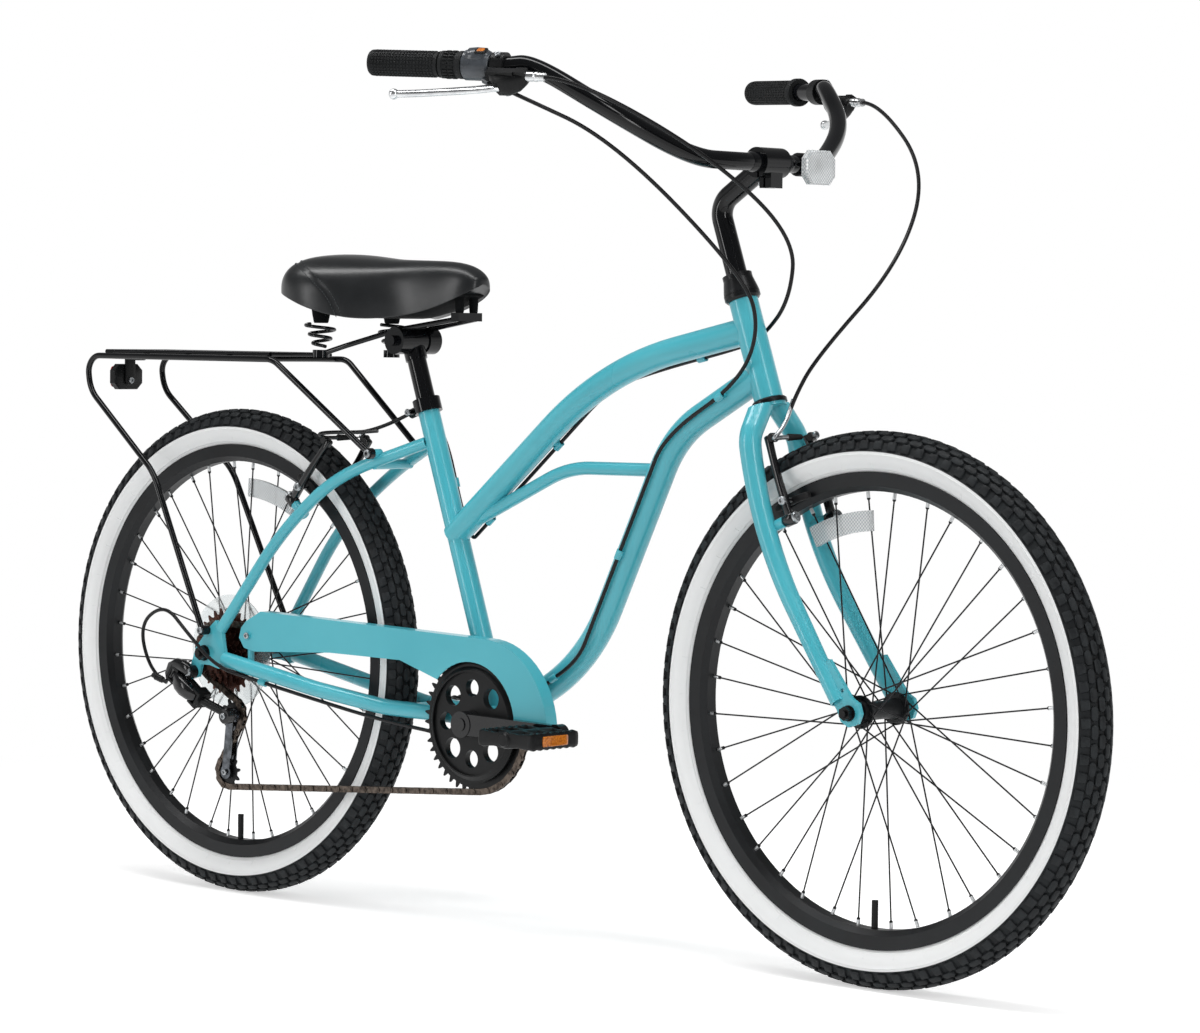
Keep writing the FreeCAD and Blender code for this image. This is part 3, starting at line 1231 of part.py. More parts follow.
def cage_plate(low_y, high_y, with_eye):
    low_reach = tension_centre - guide_centre
    along = Vector(low_reach.x, 0, low_reach.z).normalize()
    side = Vector(along.z, 0, -along.x)
    start = guide_centre - along * 3
    end = tension_centre + along * 3
    corners = [start + side * 7, end + side * 7, end - side * 7, start - side * 7]
    plate = outline_plate([(c.x, c.z) for c in corners], low_y, high_y)
    for centre in (guide_centre, tension_centre):
        foot = Vector(centre.x, low_y, centre.z)
        plate = plate.fuse(Part.makeCylinder(9.5, high_y - low_y, foot, Vector(0, 1, 0)))
    if with_eye:
        foot = Vector(cage_pivot.x, low_y, cage_pivot.z)
        plate = plate.fuse(Part.makeCylinder(9.0, high_y - low_y, foot, Vector(0, 1, 0)))
        plate = plate.cut(Part.makeCylinder(3.05, 30, foot - Vector(0, 15, 0), Vector(0, 1, 0)))
    return plate


cage_front = cage_plate(chain_plane - 6.6, chain_plane - 4.6, True)
cage_back = cage_plate(chain_plane + 4.6, chain_plane + 6.0, False)
pulley_pins = []
for centre in (guide_centre, tension_centre):
    pin_start = Vector(centre.x, chain_plane - 7.6, centre.z)
    pulley_pins.append(Part.makeCylinder(2.5, 14.0, pin_start, Vector(0, 1, 0)))
collar_low = chain_plane - 14.0
collar_tube = Part.makeCylinder(7.0, 7.6, Vector(cage_pivot.x, collar_low, cage_pivot.z), Vector(0, 1, 0))
collar_tube = collar_tube.cut(Part.makeCylinder(3.05, 9, Vector(cage_pivot.x, collar_low - 1, cage_pivot.z),
                                                Vector(0, 1, 0)))
cage_shape = cage_front.fuse([cage_back, collar_tube] + pulley_pins)
node("derailleur_cage", shaped("cage_plates", cage_shape))

for word, centre in (("guide", guide_centre), ("tension", tension_centre)):
    wheel = toothed(pulley_teeth, 2.2, 2.55, gap_phase(centre, pitch_radius(pulley_teeth)), 2.2)
    hub = Part.makeCylinder(6.0, 8.4, Vector(0, -4.2, 0), Vector(0, 1, 0))
    hub = hub.cut(Part.makeCylinder(2.55, 12, Vector(0, -6, 0), Vector(0, 1, 0)))
    wheel = wheel.fuse(hub)
    wheel.translate(centre)
    node(word + "_pulley", shaped(word + "_pulley_wheel", wheel))


# Brakes: an arm on each boss, with its pad on a short post

def brake_arm(base, along, up, side):
    """Built on local axes along the pivot, outward and up the arm, then mirrored to its own side."""
    built_side = 1 if along.cross(Vector(0, 1, 0)).dot(up) > 0 else -1
    frame = axes(base, along, Vector(0, built_side, 0), up)
    eye = Part.makeCylinder(8.0, 15.0, Vector(19.5, boss_offset, 0), Vector(1, 0, 0))
    arm = Part.makeBox(10, 9, 100, Vector(22, boss_offset - 4.5, 4))
    top = Part.makeBox(12, 14, 12, Vector(21, boss_offset - 9, 96))
    post = Part.makeCylinder(3.0, boss_offset - 24, Vector(27, 24, 24), Vector(0, 1, 0))
    shoe = Part.makeBox(54, 10, 9, Vector(-2, 18.0, 19.5))
    bolt = Part.makeCylinder(5.5, 4, Vector(27, boss_offset + 4.5, 24), Vector(0, 1, 0))
    shape = eye.fuse([arm, top, post, shoe, bolt])
    shape = shape.cut(Part.makeCylinder(4.06, 60, Vector(0, boss_offset, 0), Vector(1, 0, 0)))
    shape = moved(shape, frame)
    return shape if side == built_side else mirrored(shape)


for word, base, along, up in (("front", front_pivot_base, front_pivot_axis, front_arm_up),
                              ("rear", rear_pivot_base, rear_pivot_axis, rear_arm_up)):
    for side, hand in ((-1, "right"), (1, "left")):
        arm_shape = brake_arm(base, along, up, side)
        node("%s_%s_brake_arm" % (word, hand), shaped("%s_%s_arm" % (word, hand), arm_shape))


# Seat clamp, seatpost and saddle

collar = turned("seat_collar", [
    ("seat_tube_radius", "seat_tube_length-16"), ("seat_tube_radius+4.2", "seat_tube_length-16"),
    ("seat_tube_radius+4.2", "seat_tube_length+2"), ("seatpost_radius+0.3", "seat_tube_length+2"),
    ("seatpost_radius+0.3", "seat_tube_length"), ("seat_tube_radius", "seat_tube_length")], seat_frame)
collar_bolt = rod(seat_point(429, -25, -13), seat_point(429, -25, 13), 4.0)
collar_lug = rod(seat_point(429, -18.6, 0), seat_point(429, -32, 0), 6.5).cut(collar_bolt)
node("seat_clamp", collar, shaped("seat_clamp_lug", collar_lug), shaped("seat_clamp_bolt", collar_bolt))

post_bottom = 330.0
post_top = 516.0
post_foot = seat_point(post_bottom)
seatpost = Part.makeCylinder(size("seatpost_radius"), post_top - post_bottom, post_foot, seat_up)
seatpost = seatpost.cut(Part.makeCylinder(size("seatpost_radius") - 2.2, 150, post_foot, seat_up))
tilt_centre = seat_point(514) + Vector(0, 0, 6)
tilt_bolt_radius = 4.0
post_barrel = Part.makeCylinder(16, 29.6, tilt_centre + Vector(0, -14.8, 0), Vector(0, 1, 0))
post_socket = Part.makeCylinder(size("seatpost_radius") + 2, 22, seat_point(494), seat_up)
seatpost = seatpost.fuse([post_barrel, post_socket])
seatpost = seatpost.cut(Part.makeCylinder(tilt_bolt_radius + 0.05, 40, tilt_centre + Vector(0, -20, 0),
                                          Vector(0, 1, 0)))
node("seatpost", shaped("seatpost_tube", seatpost))

clamp_discs = []
for side in (-1, 1):
    low, high = sorted((side * 15, side * 36))
    clamp_discs.append(Part.makeCylinder(18, high - low, tilt_centre + Vector(0, low, 0), Vector(0, 1, 0)))
tilt_bolt = rod(tilt_centre + Vector(0, -16, 0), tilt_centre + Vector(0, 16, 0), tilt_bolt_radius)
clamp_body = tilt_bolt.fuse(clamp_discs)
clamp_nuts = Part.Compound([rod(tilt_centre + Vector(0, s * 36, 0), tilt_centre + Vector(0, s * 43, 0), 7)
                            for s in (-1, 1)])

spring_place = Vector(-338, 66, 0)
spring_low = 754.0
spring_high = 788.6


def rail(side):
    path = [(spring_place.x, side * spring_place.y, spring_low - 8), (-300, side * 56, 758),
            (tilt_centre.x - 4, side * 27, tilt_centre.z + 14), (-132, side * 17, 795)]
    return swept(path, [60, 70], 3.5)


rails = [rail(1), rail(-1)]
plugs = []
for side in (1, -1):
    foot = Vector(spring_place.x, side * spring_place.y, spring_low - 12)
    plugs.append(Part.makeCylinder(11, 10, foot, Vector(0, 0, 1)))
nose_bracket = block((-140, -22, 792), (-126, 22, 803))
undercarriage = rails[0].fuse([rails[1]] + plugs + [nose_bracket])
clamp_body = largest(clamp_body.cut(undercarriage))
node("saddle_undercarriage", shaped("saddle_clamp_body", clamp_body),
     shaped("saddle_clamp_nuts", clamp_nuts), shaped("saddle_rail_frame", undercarriage))


def arc_from(start, heading, end):
    """The arc that leaves the start along a heading and reaches the end."""
    chord = end - start
    along = Vector(chord).normalize()
    bulge = heading - along * heading.dot(along)
    half_angle = heading.getAngle(along)
    middle_point = start + chord * 0.5 + bulge.normalize() * (chord.Length / 2 * math.tan(half_angle / 2))
    return Part.Arc(start, middle_point, end).toShape()


def coil_spring(side):
    """Two and a half turns of round wire, laid as pairs of tangent arcs over each quarter turn."""
    turns = 2.5
    pieces = int(turns * 4)
    wire = size("spring_wire_radius")
    rise = (spring_high - wire - 0.3 - (spring_low + wire)) / pieces
    centre = Vector(spring_place.x, side * spring_place.y, 0)

    def helix(step):
        turn = step * math.pi / 2
        reach = size("spring_coil_radius") - 6.0 * (1.0 - step / pieces) ** 2
        height = spring_low + wire + rise * step
        return centre + Vector(reach * math.cos(turn), reach * math.sin(turn), height)

    def heading(step):
        return (helix(step + 0.001) - helix(step - 0.001)).normalize()

    edges = []
    for index in range(pieces):
        start, end = helix(index), helix(index + 1)
        leave, arrive = heading(index), heading(index + 1)
        gap = end - start
        both = leave + arrive
        share = 2 * (1 - leave.dot(arrive))
        reach = (-gap.dot(both) + math.sqrt(gap.dot(both) ** 2 + share * gap.dot(gap))) / share
        meeting = (start + leave * reach + end - arrive * reach) * 0.5
        edges.append(arc_from(start, leave, meeting))
        middle_heading = (end - arrive * reach - start - leave * reach).normalize()
        edges.append(arc_from(meeting, middle_heading, end))
    path = Part.Wire(edges)
    shell = Part.BRepOffsetAPI.MakePipeShell(path)
    shell.add(ring_at_start(path, wire))
    shell.build()
    shell.makeSolid()
    solid = shell.shape()
    print("spring volume share", round(solid.Volume / (math.pi * wire ** 2 * path.Length), 4))
    points = [helix(index * 0.05) for index in range(pieces * 20)]
    count = len(points)
    closest = min((points[i] - points[j]).Length for i in range(count) for j in range(i + 40, count))
    print("spring least self gap", round(closest - 2 * wire, 2))
    return solid


node("saddle_springs", shaped("left_spring", coil_spring(1)), shaped("right_spring", coil_spring(-1)))

saddle_stations = [
    (-103, 9, 845, 837, 832), (-108, 18, 852, 834, 826), (-124, 28, 864, 824, 813),
    (-152, 33, 870, 812.5, 804), (-185, 38, 871.5, 803, 797), (-220, 46, 872, 797, 793.5),
    (-255, 66, 872.5, 793.5, 790.5),
    (-290, 92, 875.5, 796.5, 789), (-330, 107, 879.5, 808.5, 788.8), (-360, 106, 880, 820, 795),
    (-381, 93, 876, 827, 806), (-394, 70, 867, 830, 816), (-400, 42, 856, 834, 826)]


def saddle_section(x, half, top, edge, low):
    """A closed section: crowned top, full sides down to a lower edge, and a base drawn in under it."""
    tall = top - edge
    right = [(0.0, top), (0.4, top - 0.03 * tall), (0.72, top - 0.14 * tall), (0.91, top - 0.38 * tall),
             (0.99, top - 0.7 * tall), (0.97, edge), (0.84, edge + 0.5 * (low - edge)), (0.6, low),
             (0.3, low)]
    left = [(-share, height) for share, height in reversed(right[1:])]
    points = [Vector(x, share * half, height) for share, height in right + [(0.0, low)] + left]
    curve = Part.BSplineCurve()
    curve.interpolate(points, PeriodicFlag=True)
    return Part.Wire(curve.toShape())


saddle = Part.makeLoft([saddle_section(*station) for station in saddle_stations], True, False)
node("saddle_cushion", shaped("saddle_cover", saddle))


# Rear rack: side rods, deck rods and feet, with a reflector under its tail

rack_rod = size("rack_rod_radius")
deck_height = 738.0
rack_path = [(-553, -80, 366), (-662, -74, 578), (-803, -69, 690), (-811, -68, deck_height),
             (-428, -69, deck_height), (-262, -49, 616)]
right_side = swept(rack_path, [90, 45, 22, 36], rack_rod)
left_side = mirrored(right_side)
cross_bars = []
for x in (-780, -700, -615, -530, -450):
    cross_bars.append(rod(Vector(x, -69, deck_height), Vector(x, 69, deck_height), 3.6))
rod_height = deck_height + 6.0
deck_rods = [rod(Vector(-783, y, rod_height), Vector(-447, y, rod_height), 3.2) for y in (-56, 0, 56)]
deck_rods += [rod(Vector(x, -56, rod_height), Vector(x, 56, rod_height), 3.2) for x in (-783, -447)]
upper_foot = rod(Vector(-262, -44.2, 616), Vector(-262, -51.5, 616), 7.5)
lower_foot = rod(Vector(-553, -70.4, 366), Vector(-553, -83, 366), 6.5)
rack = right_side.fuse([left_side] + cross_bars + deck_rods +
                       [upper_foot, mirrored(upper_foot), lower_foot, mirrored(lower_foot)])
node("rear_rack", shaped("rack_rods", rack))
tail_mount = block((-800, -9, 700), (-796, 9, deck_height - 3.6))
tail_mount = tail_mount.fuse(block((-800, -9, deck_height - 6.6), (-774, 9, deck_height - 3.6)))
tail_back = block((-812, -26, 690), (-800, 26, 726))
node("rack_reflector", shaped("tail_reflector", tail_back.fuse(tail_mount)))


# Cables: round casing laid along straight runs and tangent arcs

def cable(name, path, radii):
    wire = bent_wire(path, radii)
    radius = size("cable_radius")
    solid = swept(path, radii, radius)
    share = solid.Volume / (math.pi * radius ** 2 * wire.Length)
    print(name, "length", round(wire.Length, 1), "volume share", round(share, 4))
    return shaped(name, solid)


barrel_left = grip_frame.multVec(Vector(235.2, 26.7, 0))
barrel_heading = grip_frame.Rotation.multVec(Vector(1, 0.03, 0))
front_run = barrel_left + barrel_heading * 40
node("front_brake_cable", cable("front_brake_casing", [
    tuple(barrel_left), tuple(front_run), (462, 205, 985), (512, 90, 870), (448, 8, 752), (424, -10, 690),
    (436, -29.5, 645)], [60, 90, 110, 160, 22]))
barrel_right = Vector(barrel_left.x, -barrel_left.y, barrel_left.z)
rear_run = Vector(front_run.x, -front_run.y, front_run.z)
run_high, heading_high, below_high = offset_point(top_path, 1, 0.9, cable_drop)
run_low, heading_low, below_low = offset_point(top_path, 0, 0.10, cable_drop)
corner_reach = cable_drop / (1 + below_high.dot(below_low))
run_corner = Vector(*top_path[1]) + (below_high + below_low) * corner_reach
node("rear_brake_cable", cable("rear_brake_casing", [
    tuple(barrel_right), tuple(rear_run), (390, -128, 994), (414, 8, 900), (402, 14, 822), (350, 24, 776),
    (run_high.x, cable_side, run_high.z), (run_corner.x, cable_side, run_corner.z),
    (run_low.x, cable_side, run_low.z), tuple(seat_run_low), tuple(seat_run_high), (-288, -8, 645),
    (-347, -27, 638)],
    [60, 70, 80, 60, 40, 40, top_radii[0] - cable_drop, 38, 25, 22, 60]))

outlet_end = grip_frame.multVec(Vector(166.5, 20.2, -15.1))
outlet_heading = grip_frame.Rotation.multVec(Vector(16, 6, -3)).normalize()
outlet_end = Vector(outlet_end.x, -outlet_end.y, outlet_end.z)
outlet_run = outlet_end + Vector(outlet_heading.x, -outlet_heading.y, outlet_heading.z) * 30
side = -beside_down
down_entry = Vector(*down_path[2]) * 0.144 + Vector(*down_path[3]) * 0.856
node("shift_cable", cable("shift_casing", [
    tuple(outlet_end), tuple(outlet_run), (303, -200, 1010), (382, -46, 848), (394, -33, 785),
    (down_entry.x, side, down_entry.z), (232.8, side, 653.2), (91.4, side, 362.6), (22, side, 322.4),
    (-22, -24, 262), (-64, -28, 246), (-240, -44, 264),
    tuple(stay_run_start), tuple(stay_run_end), (-522, -82, 318), (-566, -95, 362), (-612, -96, 400),
    (-668, -94, 368), (-648, -88, 300), (-622, -84, 291)],
    [40, 80, 80, 50, 40, 150, 110, 40, 40, 40, 200, 240, 40, 60, 40, 30, 30, 18]))


# Every object is checked before its piece is written

doc.recompute()
for piece in doc.Objects:
    flags = [flag for flag in piece.State if flag in ("Invalid", "Error")]
    if flags:
        raise RuntimeError("%s is %s" % (piece.Name, flags))
os.makedirs("parts", exist_ok=True)
for name, piece in nodes.items():
    shape = piece.Shape
    if shape.isNull() or not shape.isValid():
        raise RuntimeError("%s has no valid shape" % name)
    shape.exportStep("parts/%s.step" % name)
    print(name, len(shape.Solids), round(shape.Volume / 1000.0, 1))
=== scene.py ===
from math import cos, pi, radians, sin, tau

import bmesh
import bpy
from mathutils import Matrix, Vector
from mathutils.bvhtree import BVHTree


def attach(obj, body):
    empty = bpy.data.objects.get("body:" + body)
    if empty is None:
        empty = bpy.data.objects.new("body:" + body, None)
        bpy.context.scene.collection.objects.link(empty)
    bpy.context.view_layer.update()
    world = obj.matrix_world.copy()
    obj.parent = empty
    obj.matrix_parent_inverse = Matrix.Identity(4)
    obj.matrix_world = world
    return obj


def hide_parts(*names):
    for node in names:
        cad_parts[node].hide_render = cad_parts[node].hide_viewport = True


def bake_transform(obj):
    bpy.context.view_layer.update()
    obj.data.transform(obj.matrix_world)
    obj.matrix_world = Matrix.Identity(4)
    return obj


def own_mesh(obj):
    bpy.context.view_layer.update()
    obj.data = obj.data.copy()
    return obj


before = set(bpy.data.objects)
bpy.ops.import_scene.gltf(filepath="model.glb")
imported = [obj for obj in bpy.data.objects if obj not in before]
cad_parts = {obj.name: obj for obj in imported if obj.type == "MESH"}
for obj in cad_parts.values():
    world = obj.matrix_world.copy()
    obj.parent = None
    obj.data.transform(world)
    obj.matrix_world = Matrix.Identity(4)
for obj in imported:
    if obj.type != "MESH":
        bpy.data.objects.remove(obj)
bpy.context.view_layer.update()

scene = bpy.context.scene


# Frame: curved steel tubes, mitred and welded, with the stays, the rear ends, the brake bosses and
# the cable guides welded on. All of it is sprayed with one gloss teal enamel.
def linear(code):
    """The linear colour of an sRGB hex value."""
    shares = [int(code[i:i + 2], 16) / 255 for i in (1, 3, 5)]
    return [*(s / 12.92 if s <= 0.04045 else ((s + 0.055) / 1.055) ** 2.4 for s in shares), 1.0]


def put(tree, kind, feeds=(), **settings):
    """Add one node to a tree, with its settings, its values and its links."""
    made = tree.nodes.new(kind)
    for name, value in settings.items():
        setattr(made, name, value)
    for name, value in dict(feeds).items():
        if isinstance(value, bpy.types.NodeSocket):
            tree.links.new(value, made.inputs[name])
        else:
            made.inputs[name].default_value = value
    return made


def start_finish(name, surface):
    """A new material, with the values that are the same all over it set on its shader."""
    finish = bpy.data.materials.new(name)
    finish.use_nodes = True
    shader = finish.node_tree.nodes["Principled BSDF"]
    for socket, value in surface.items():
        shader.inputs[socket].default_value = value
    return finish, finish.node_tree, shader


def ramp(tree, share, codes, ends=(0, 1)):
    """A colour that runs from one hex value to another as a share passes from end to end."""
    made = put(tree, "ShaderNodeValToRGB", {"Fac": share})
    for stop, code, end in zip(made.color_ramp.elements, codes, ends):
        stop.position = end
        stop.color = linear(code)
    return made.outputs["Color"]


def vary(tree, shader, colours, patch, rough, grain, depth):
    """Colour and gloss that drift over patches, and a fine grain in the surface. Sizes are in mm."""
    place = put(tree, "ShaderNodeTexCoord").outputs["Object"]
    drift = put(tree, "ShaderNodeTexNoise", {"Vector": place, "Scale": 1000 / patch, "Detail": 3.0}).outputs["Fac"]
    tint = ramp(tree, drift, colours, (0.35, 0.65))
    tree.links.new(tint, shader.inputs["Base Color"])
    gloss = put(tree, "ShaderNodeMapRange", {"Value": drift, "From Min": 0.3, "From Max": 0.7,
                                             "To Min": rough[0], "To Max": rough[1]})
    tree.links.new(gloss.outputs["Result"], shader.inputs["Roughness"])
    fine = put(tree, "ShaderNodeTexNoise", {"Vector": place, "Scale": 1000 / grain, "Detail": 2.0})
    relief = put(tree, "ShaderNodeBump", {"Height": fine.outputs["Fac"], "Strength": 0.5, "Distance": depth / 1000})
    tree.links.new(relief.outputs["Normal"], shader.inputs["Normal"])
    return place, tint


def varied(name, surface, *drift):
    """A new material whose colour, gloss and grain vary over it."""
    finish, tree, shader = start_finish(name, surface)
    vary(tree, shader, *drift)
    return finish


def dress(finish, *nodes):
    """Give solid pieces of the model their finish."""
    for name in nodes:
        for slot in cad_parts[name].material_slots:
            slot.material = finish


# Sprayed enamel under a clear coat: an even teal with soft, sharp-edged highlights and the faint
# ripple of sprayed paint, some 3 mm from crest to crest.
teal_enamel = varied("teal_enamel", {"IOR": 1.5, "Coat Weight": 0.35, "Coat Roughness": 0.08},
                     ("#42ADBC", "#4CB4C2"), 160, (0.26, 0.34), 3, 0.02)
dress(teal_enamel, "front_triangle", "rear_triangle", "frame_fittings")

# Fork: two curved blades brazed into a crown under the head tube, with flat ends for the axle.
# It is painted with the frame.
dress(teal_enamel, "fork")

# Headset and bottom bracket: pressed cups and threaded rings of steel, blacked and oiled.
# They are screwed into the ends of the head tube and of the bracket shell.
# Blacked steel: a dense black with a soft metallic gloss and fine turning marks about 1 mm apart.
black_steel = varied("black_steel", {"Metallic": 0.3, "Specular IOR Level": 0.3},
                     ("#101011", "#18191B"), 25, (0.25, 0.4), 1, 0.01)
dress(black_steel, "bearing_cups", "headset_locknut")

# Stem and seatpost: bent and welded steel tube, and the clamp round the seat tube's top.
# They are powder coated in gloss black after the welding.
# Gloss powder coat: deep black with bright long highlights and the slight ripple of melted powder.
black_enamel = varied("black_enamel", {"IOR": 1.38, "Specular IOR Level": 0.5},
                      ("#08090B", "#0D0E11"), 90, (0.08, 0.14), 4, 0.02)
dress(black_enamel, "stem", "seatpost", "seat_clamp")

# Rims and hubs: rolled and welded aluminium hoops and turned hub shells, anodised black.
# The spokes are laced through the hub's flanges and drawn up with a nipple at the rim.
# Anodised aluminium: satin charcoal with fine drawing lines that follow the hoop, drawn 2 mm apart.
black_anodised = varied("black_anodised", {"Metallic": 0.2, "Specular IOR Level": 0.3},
                        ("#131416", "#1B1D1F"), 60, (0.36, 0.48), 2, 0.012)
dress(black_anodised, "front_rim", "rear_rim", "front_hub", "rear_hub")

# Spokes: drawn steel wire, blacked, with a nickel-plated nipple at each rim hole.
# The wire gives way to its nipple where the distance from the hub passes 254 mm.
laced_wire, tree, shader = start_finish("blacked_spoke_wire", {"Metallic": 0.8})
place, wire_tint = vary(tree, shader, ("#1B1B1C", "#29292B"), 30, (0.28, 0.42), 2, 0.01)
HUB_AHEAD, HUB_HIGH = 0.559, 0.334
NIPPLE_START = 0.254


def maths(tree, operation, *values, **settings):
    """One step of arithmetic on values and sockets."""
    return put(tree, "ShaderNodeMath", dict(enumerate(values)), operation=operation, **settings).outputs[0]


def wheel_radius(tree, place):
    """The distance from the nearer hub's centre, the same for both wheels, in metres."""
    axes = put(tree, "ShaderNodeSeparateXYZ", {0: place}).outputs
    across = maths(tree, "SUBTRACT", maths(tree, "ABSOLUTE", axes["X"]), HUB_AHEAD)
    above = maths(tree, "SUBTRACT", axes["Z"], HUB_HIGH)
    arm = put(tree, "ShaderNodeCombineXYZ", {"X": across, "Z": above}).outputs[0]
    return put(tree, "ShaderNodeVectorMath", {0: arm}, operation="LENGTH").outputs["Value"]


def step_colour(tree, shader, measure, limit, inner, outer):
    """Change the base colour where a measure in metres passes a limit, over 0.6 mm."""
    share = put(tree, "ShaderNodeMapRange", {"Value": measure, "From Min": limit - 0.0003,
                                             "From Max": limit + 0.0003}).outputs["Result"]
    inner, outer = (c if isinstance(c, bpy.types.NodeSocket) else linear(c) for c in (inner, outer))
    blend = put(tree, "ShaderNodeMix", {0: share, 6: inner, 7: outer}, data_type="RGBA")
    tree.links.new(blend.outputs[2], shader.inputs["Base Color"])


step_colour(tree, shader, wheel_radius(tree, place), NIPPLE_START, wire_tint, "#C9CBCC")
dress(laced_wire, "front_spokes", "rear_spokes")

# Axles: threaded steel through each hub, with a locknut, a washer and a track nut at each end.
# The nuts are blacked; the threads keep a dark bare shine.
dress(black_steel, "front_axle", "rear_axle", "crank_spindle")

# Inner tubes: butyl rubber inside the tyres, of which only the capped valve stems show at the rims.
# Butyl rubber: matt black, with a faint bloom and a moulded grain of about 1 mm.
butyl = varied("butyl_rubber", {"Specular IOR Level": 0.3},
               ("#101011", "#19191A"), 20, (0.6, 0.75), 1, 0.02)
dress(butyl, "front_inner_tube", "rear_inner_tube")

# Tyres: moulded rubber casings with a broad white band down each side, hooked under the rim's
# edges, and rows of tread knobs that are moulded with them.
# Tyre rubber: black with a dry grey bloom on the tread side; white from the rim to 309.5 mm from the hub.
BAND_EDGE = 0.3095
tyre_rubber, tree, shader = start_finish("whitewall_tyre_rubber", {"Specular IOR Level": 0.2})
place, black_tint = vary(tree, shader, ("#1A1C1E", "#25282A"), 30, (0.55, 0.7), 1.5, 0.03)
step_colour(tree, shader, wheel_radius(tree, place), BAND_EDGE, "#F0F1F1", black_tint)
tread_rubber = varied("tread_rubber", {"Specular IOR Level": 0.2},
                      ("#1B1D1F", "#282B2D"), 12, (0.5, 0.66), 1.2, 0.05)
white_rubber = varied("white_rubber", {"Specular IOR Level": 0.35},
                      ("#EBEDED", "#F2F3F3"), 25, (0.5, 0.6), 1.5, 0.02)

SECTION_ROUND = 308
TREAD_TOP = 26
HUBS = {"front": Vector((HUB_AHEAD, 0, HUB_HIGH)), "rear": Vector((-HUB_AHEAD, 0, HUB_HIGH))}


def welded(name, points, faces, sharp):
    """A closed mesh with its seams and poles joined and its faces turned outward, smooth but at sharp edges."""
    mesh = bpy.data.meshes.new(name)
    mesh.from_pydata(points, [], faces)
    shell = bmesh.new()
    shell.from_mesh(mesh)
    bmesh.ops.remove_doubles(shell, verts=shell.verts, dist=1e-6)
    bmesh.ops.recalc_face_normals(shell, faces=shell.faces)
    shell.to_mesh(mesh)
    shell.free()
    mesh.shade_smooth()
    mesh.set_sharp_from_angle(angle=radians(sharp))
    return mesh


def add(name, data):
    """An object in the scene for a mesh, a curve, a lamp or a camera."""
    made = bpy.data.objects.new(name, data)
    scene.collection.objects.link(made)
    return made


def finish_mesh(name, points, faces, finish, sharp=40):
    """An object of points in metres and faces, smooth but for its sharp edges, in one finish."""
    mesh = welded(name, points, faces, sharp)
    mesh.materials.append(finish)
    return add(name, mesh)


def spun(profile, origin, axis, side, steps, closed=False):
    """Points and faces of a profile of (along, out) pairs in mm, turned about an axis."""
    axis, side = Vector(axis), Vector(side)
    third = axis.cross(side)
    count = len(profile)
    points = []
    for i in range(steps):
        out = side * cos(tau * i / steps) + third * sin(tau * i / steps)
        points += [origin + (axis * along + out * far) * 0.001 for along, far in profile]
    faces = []
    for i in range(steps):
        here, there = i * count, (i + 1) % steps * count
        for j in range(count if closed else count - 1):
            k = (j + 1) % count
            faces.append((here + j, here + k, there + k, there + j))
    return points, faces


def settle(piece, body, slot, *nodes):
    """The piece rides on a body and stands for the solids it covers, which are hidden; its slot is not used."""
    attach(piece, body)
    if nodes:
        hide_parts(*nodes)
    return piece


def joined(shapes):
    """The points and faces of several shapes, in one list of each."""
    points, faces = [], []
    for more, rows in shapes:
        faces += [tuple(i + len(points) for i in row) for row in rows]
        points += more
    return points, faces


def build(name, shapes, finish, *place, sharp=40):
    """A piece of several shapes in one finish, settled on its body and for its solids."""
    return settle(finish_mesh(name, *joined(shapes), finish, sharp), *place)


def plain_mesh(piece):
    """What a curve or a piece's modifiers make, as a mesh of its own."""
    graph = bpy.context.evaluated_depsgraph_get()
    return bpy.data.meshes.new_from_object(piece.evaluated_get(graph))


def new_tree(name, inputs):
    """A tree of geometry nodes, with its named inputs."""
    made = bpy.data.node_groups.new(name, "GeometryNodeTree")
    made.interface.new_socket("Geometry", in_out="INPUT", socket_type="NodeSocketGeometry")
    for label, kind in inputs.items():
        made.interface.new_socket(label, in_out="INPUT", socket_type="NodeSocket" + kind)
    made.interface.new_socket("Geometry", in_out="OUTPUT", socket_type="NodeSocketGeometry")
    return made, put(made, "NodeGroupInput").outputs


def close_tree(made, shape, finish):
    """Turn a tree's copies into real faces, in their finish."""
    real = put(made, "GeometryNodeRealizeInstances", {"Geometry": shape})
    coloured = put(made, "GeometryNodeSetMaterial", {"Geometry": real.outputs[0], "Material": finish})
    put(made, "NodeGroupOutput", {"Geometry": coloured.outputs[0]})


def grow(made, name, seed, inputs):
    """Run a tree over a seed mesh, and keep what it makes as a plain mesh."""
    piece = add(name, seed)
    maker = piece.modifiers.new("maker", "NODES")
    maker.node_group = made
    for item in made.interface.items_tree:
        if item.in_out == "INPUT" and item.name in inputs:
            maker[item.identifier] = inputs[item.name]
    plain = plain_mesh(piece)
    piece.modifiers.remove(maker)
    piece.data = plain
    return piece


ring_tree, given = new_tree("repeat_round_an_axis", {"Count": "Int", "Centre": "Vector", "Axis": "Vector",
                                                     "Finish": "Material"})
spots = put(ring_tree, "GeometryNodeMeshLine", {"Count": given["Count"], "Start Location": given["Centre"],
                                                "Offset": (0, 0, 0)})
index = put(ring_tree, "GeometryNodeInputIndex").outputs[0]
angle = maths(ring_tree, "MULTIPLY", index, maths(ring_tree, "DIVIDE", tau, given["Count"]))
turn = put(ring_tree, "FunctionNodeAxisAngleToRotation", {"Axis": given["Axis"], "Angle": angle})
copies = put(ring_tree, "GeometryNodeInstanceOnPoints", {"Points": spots.outputs[0], "Instance": given["Geometry"],
                                                         "Rotation": turn.outputs[0]})
close_tree(ring_tree, copies.outputs[0], given["Finish"])


